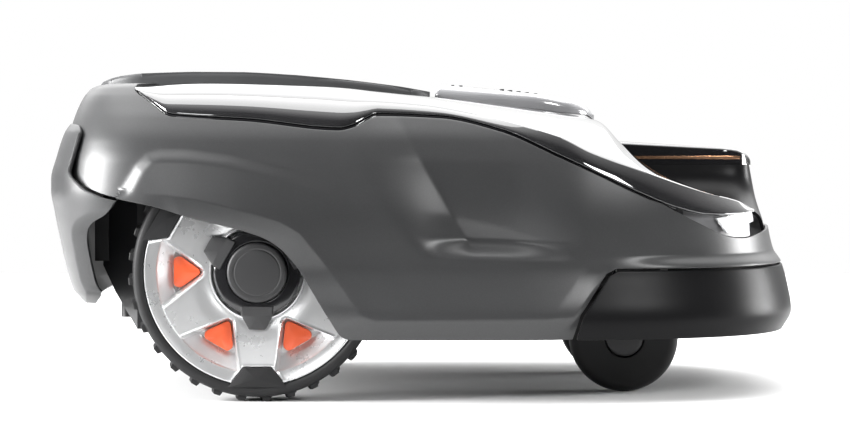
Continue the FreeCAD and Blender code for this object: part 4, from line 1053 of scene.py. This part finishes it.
def wheels():
    """Drive wheels: silver rim, orange window inserts, tyre and the dark hub."""
    inserts = joined([window_insert(a) for a in WINDOWS])
    hub_face = joined([hub_cap_mesh()] + [hub_arm(a) for a in NOTCHES])
    pieces = [
        ("rim_disc", rim_mesh(), "rim_silver", ["rim"]),
        ("inserts", inserts, "insert_orange", ["window_inserts"]),
        ("tread", tyre_mesh(), "tyre_rubber", ["tyre"]),
        ("hub_ring", hub_ring_mesh(), "hub_black", []),
        ("hub_face", hub_face, "hub_black", ["hub_cap"], "hub_cap"),
    ]
    on_both_sides(pieces, "wheel", WHEEL_CENTRE)


# ---- casters
CASTER_CENTRE = (190.0, 115.0, 51.0)


def casters():
    """Wide front rollers, each with a flat cap on its hub."""
    roller = rounded([(6.2, -16), (20, -16), (22, -22), (44, -22), (49, -18), (51, -10), (51, 10), (49, 18),
                      (44, 22), (18.6, 22), (18.0, 20.5), (18.0, 17), (6.2, 17)],
                     [0.5, 0.5, 1.5, 4, 4, 4, 4, 4, 4, 0.8, 0.3, 0.3, 0.5], 4)
    cap = rounded([(0.001, 17), (17.6, 17), (17.4, 21.2), (15, 22.2), (0.001, 22.5)],
                  [0, 0.3, 0.8, 1.5, 0], 3)
    pieces = [
        ("roller", lathe(roller, 128), "tyre_rubber", ["caster_wheel"]),
        ("roller_cap", lathe(cap, 128), "chassis_black", ["caster_cap"]),
    ]
    on_both_sides(pieces, "caster_roller", CASTER_CENTRE)


# ---- stage, light and camera
def soft_box(name, place, aim, size, power):
    """Rectangular area light that the camera doesn't see."""
    light = bpy.data.lights.new(name, "AREA")
    light.shape = "RECTANGLE"
    light.size, light.size_y = size
    light.energy = power
    made = linked(name, light)
    made.location = place
    made.rotation_euler = (Vector(aim) - Vector(place)).to_track_quat("-Z", "Y").to_euler()
    made.visible_camera = False


def paper_floor():
    """White paper under the mower, deeper behind it than in front."""
    reach, front = 2.3, -0.6
    floor = bpy.data.meshes.new("studio_floor")
    floor.from_pydata([(-reach, front, 0), (reach, front, 0), (reach, reach, 0), (-reach, reach, 0)], [],
                      [(0, 1, 2, 3)])
    material, tree, bsdf = new_material("studio_paper")
    tone = ramp(tree, noise(tree, 900.0, 3.0), [(0.3, (0.78, 0.78, 0.78)), (0.7, (0.84, 0.84, 0.84))])
    feed(tree, bsdf, {"Base Color": tone, "Roughness": 0.8, "Specular IOR Level": 0.1})
    floor.materials.append(material)
    made = linked("studio_floor", floor)


def surroundings():
    """Light from all round: dark on the camera's side, bright above and behind, white where it is seen."""
    world = bpy.data.worlds.new("studio")
    bpy.context.scene.world = world
    world.use_nodes = True
    tree = world.node_tree
    tree.nodes.clear()
    coords = new_node(tree, "TexCoord").outputs["Generated"]
    lean = new_node(tree, "VectorMath", {0: coords, 1: (0.0, 0.5, 0.87)})
    lean.operation = "DOT_PRODUCT"
    glow = ramp(tree, lean.outputs["Value"], [(0.0, (0.012, 0.012, 0.012)), (0.25, (0.03, 0.03, 0.03)),
                                              (0.48, (0.4, 0.4, 0.4)), (0.7, (1.0, 1.0, 1.0))])
    around = new_node(tree, "Background", {"Color": glow, "Strength": 1.3}).outputs["Background"]
    seen = new_node(tree, "Background", {"Color": (1.0, 1.0, 1.0, 1)}).outputs["Background"]
    path = new_node(tree, "LightPath").outputs["Is Camera Ray"]
    mix = new_node(tree, "MixShader", {"Fac": path, 1: around, 2: seen}).outputs["Shader"]
    new_node(tree, "OutputWorld", {"Surface": mix})


def studio():
    """The paper, its surroundings, and large soft boxes over, behind and beside the mower."""
    paper_floor()
    surroundings()
    soft_box("overhead", (0.0, 0.25, 2.1), (0.0, 0.0, 0.2), (3.2, 1.6), 60)
    soft_box("back_panel", (0.1, 2.4, 2.0), (0.0, 0.0, 0.2), (5.0, 2.2), 60)
    soft_box("tail_panel", (-2.0, -0.6, 0.7), (-0.2, 0.0, 0.2), (1.0, 1.0), 130)
    soft_box("nose_panel", (2.3, 0.65, 0.4), (0.3, 0.0, 0.2), (0.9, 0.7), 45)
    soft_box("nose_front", (1.55, -2.3, 1.35), (0.0, -0.2, 0.2), (0.7, 0.6), 36)
    soft_box("tail_front", (-1.1, -2.6, 1.2), (-0.2, -0.2, 0.2), (0.6, 0.6), 9)
    bpy.context.scene.view_settings.view_transform = "Standard"


def camera():
    """Side-on view from 3.2 m at 0.25 m above the floor, tipped down a little."""
    lens = bpy.data.cameras.new("camera")
    lens.lens = 138.9
    lens.sensor_width = 36.0
    made = linked("camera", lens)
    made.location = (0.0034, -3.2, 0.25)
    made.rotation_euler = (math.radians(90 - 1.64), 0, 0)
    bpy.context.scene.camera = made


dress_cad_nodes()
body_shell()
rear_apron()
front_bumper()
wing_covers()
lens_covers()
seam_trim()
hatch_skin()
stop_paddle()
dock_cap()
wheels()
casters()
studio()
camera()
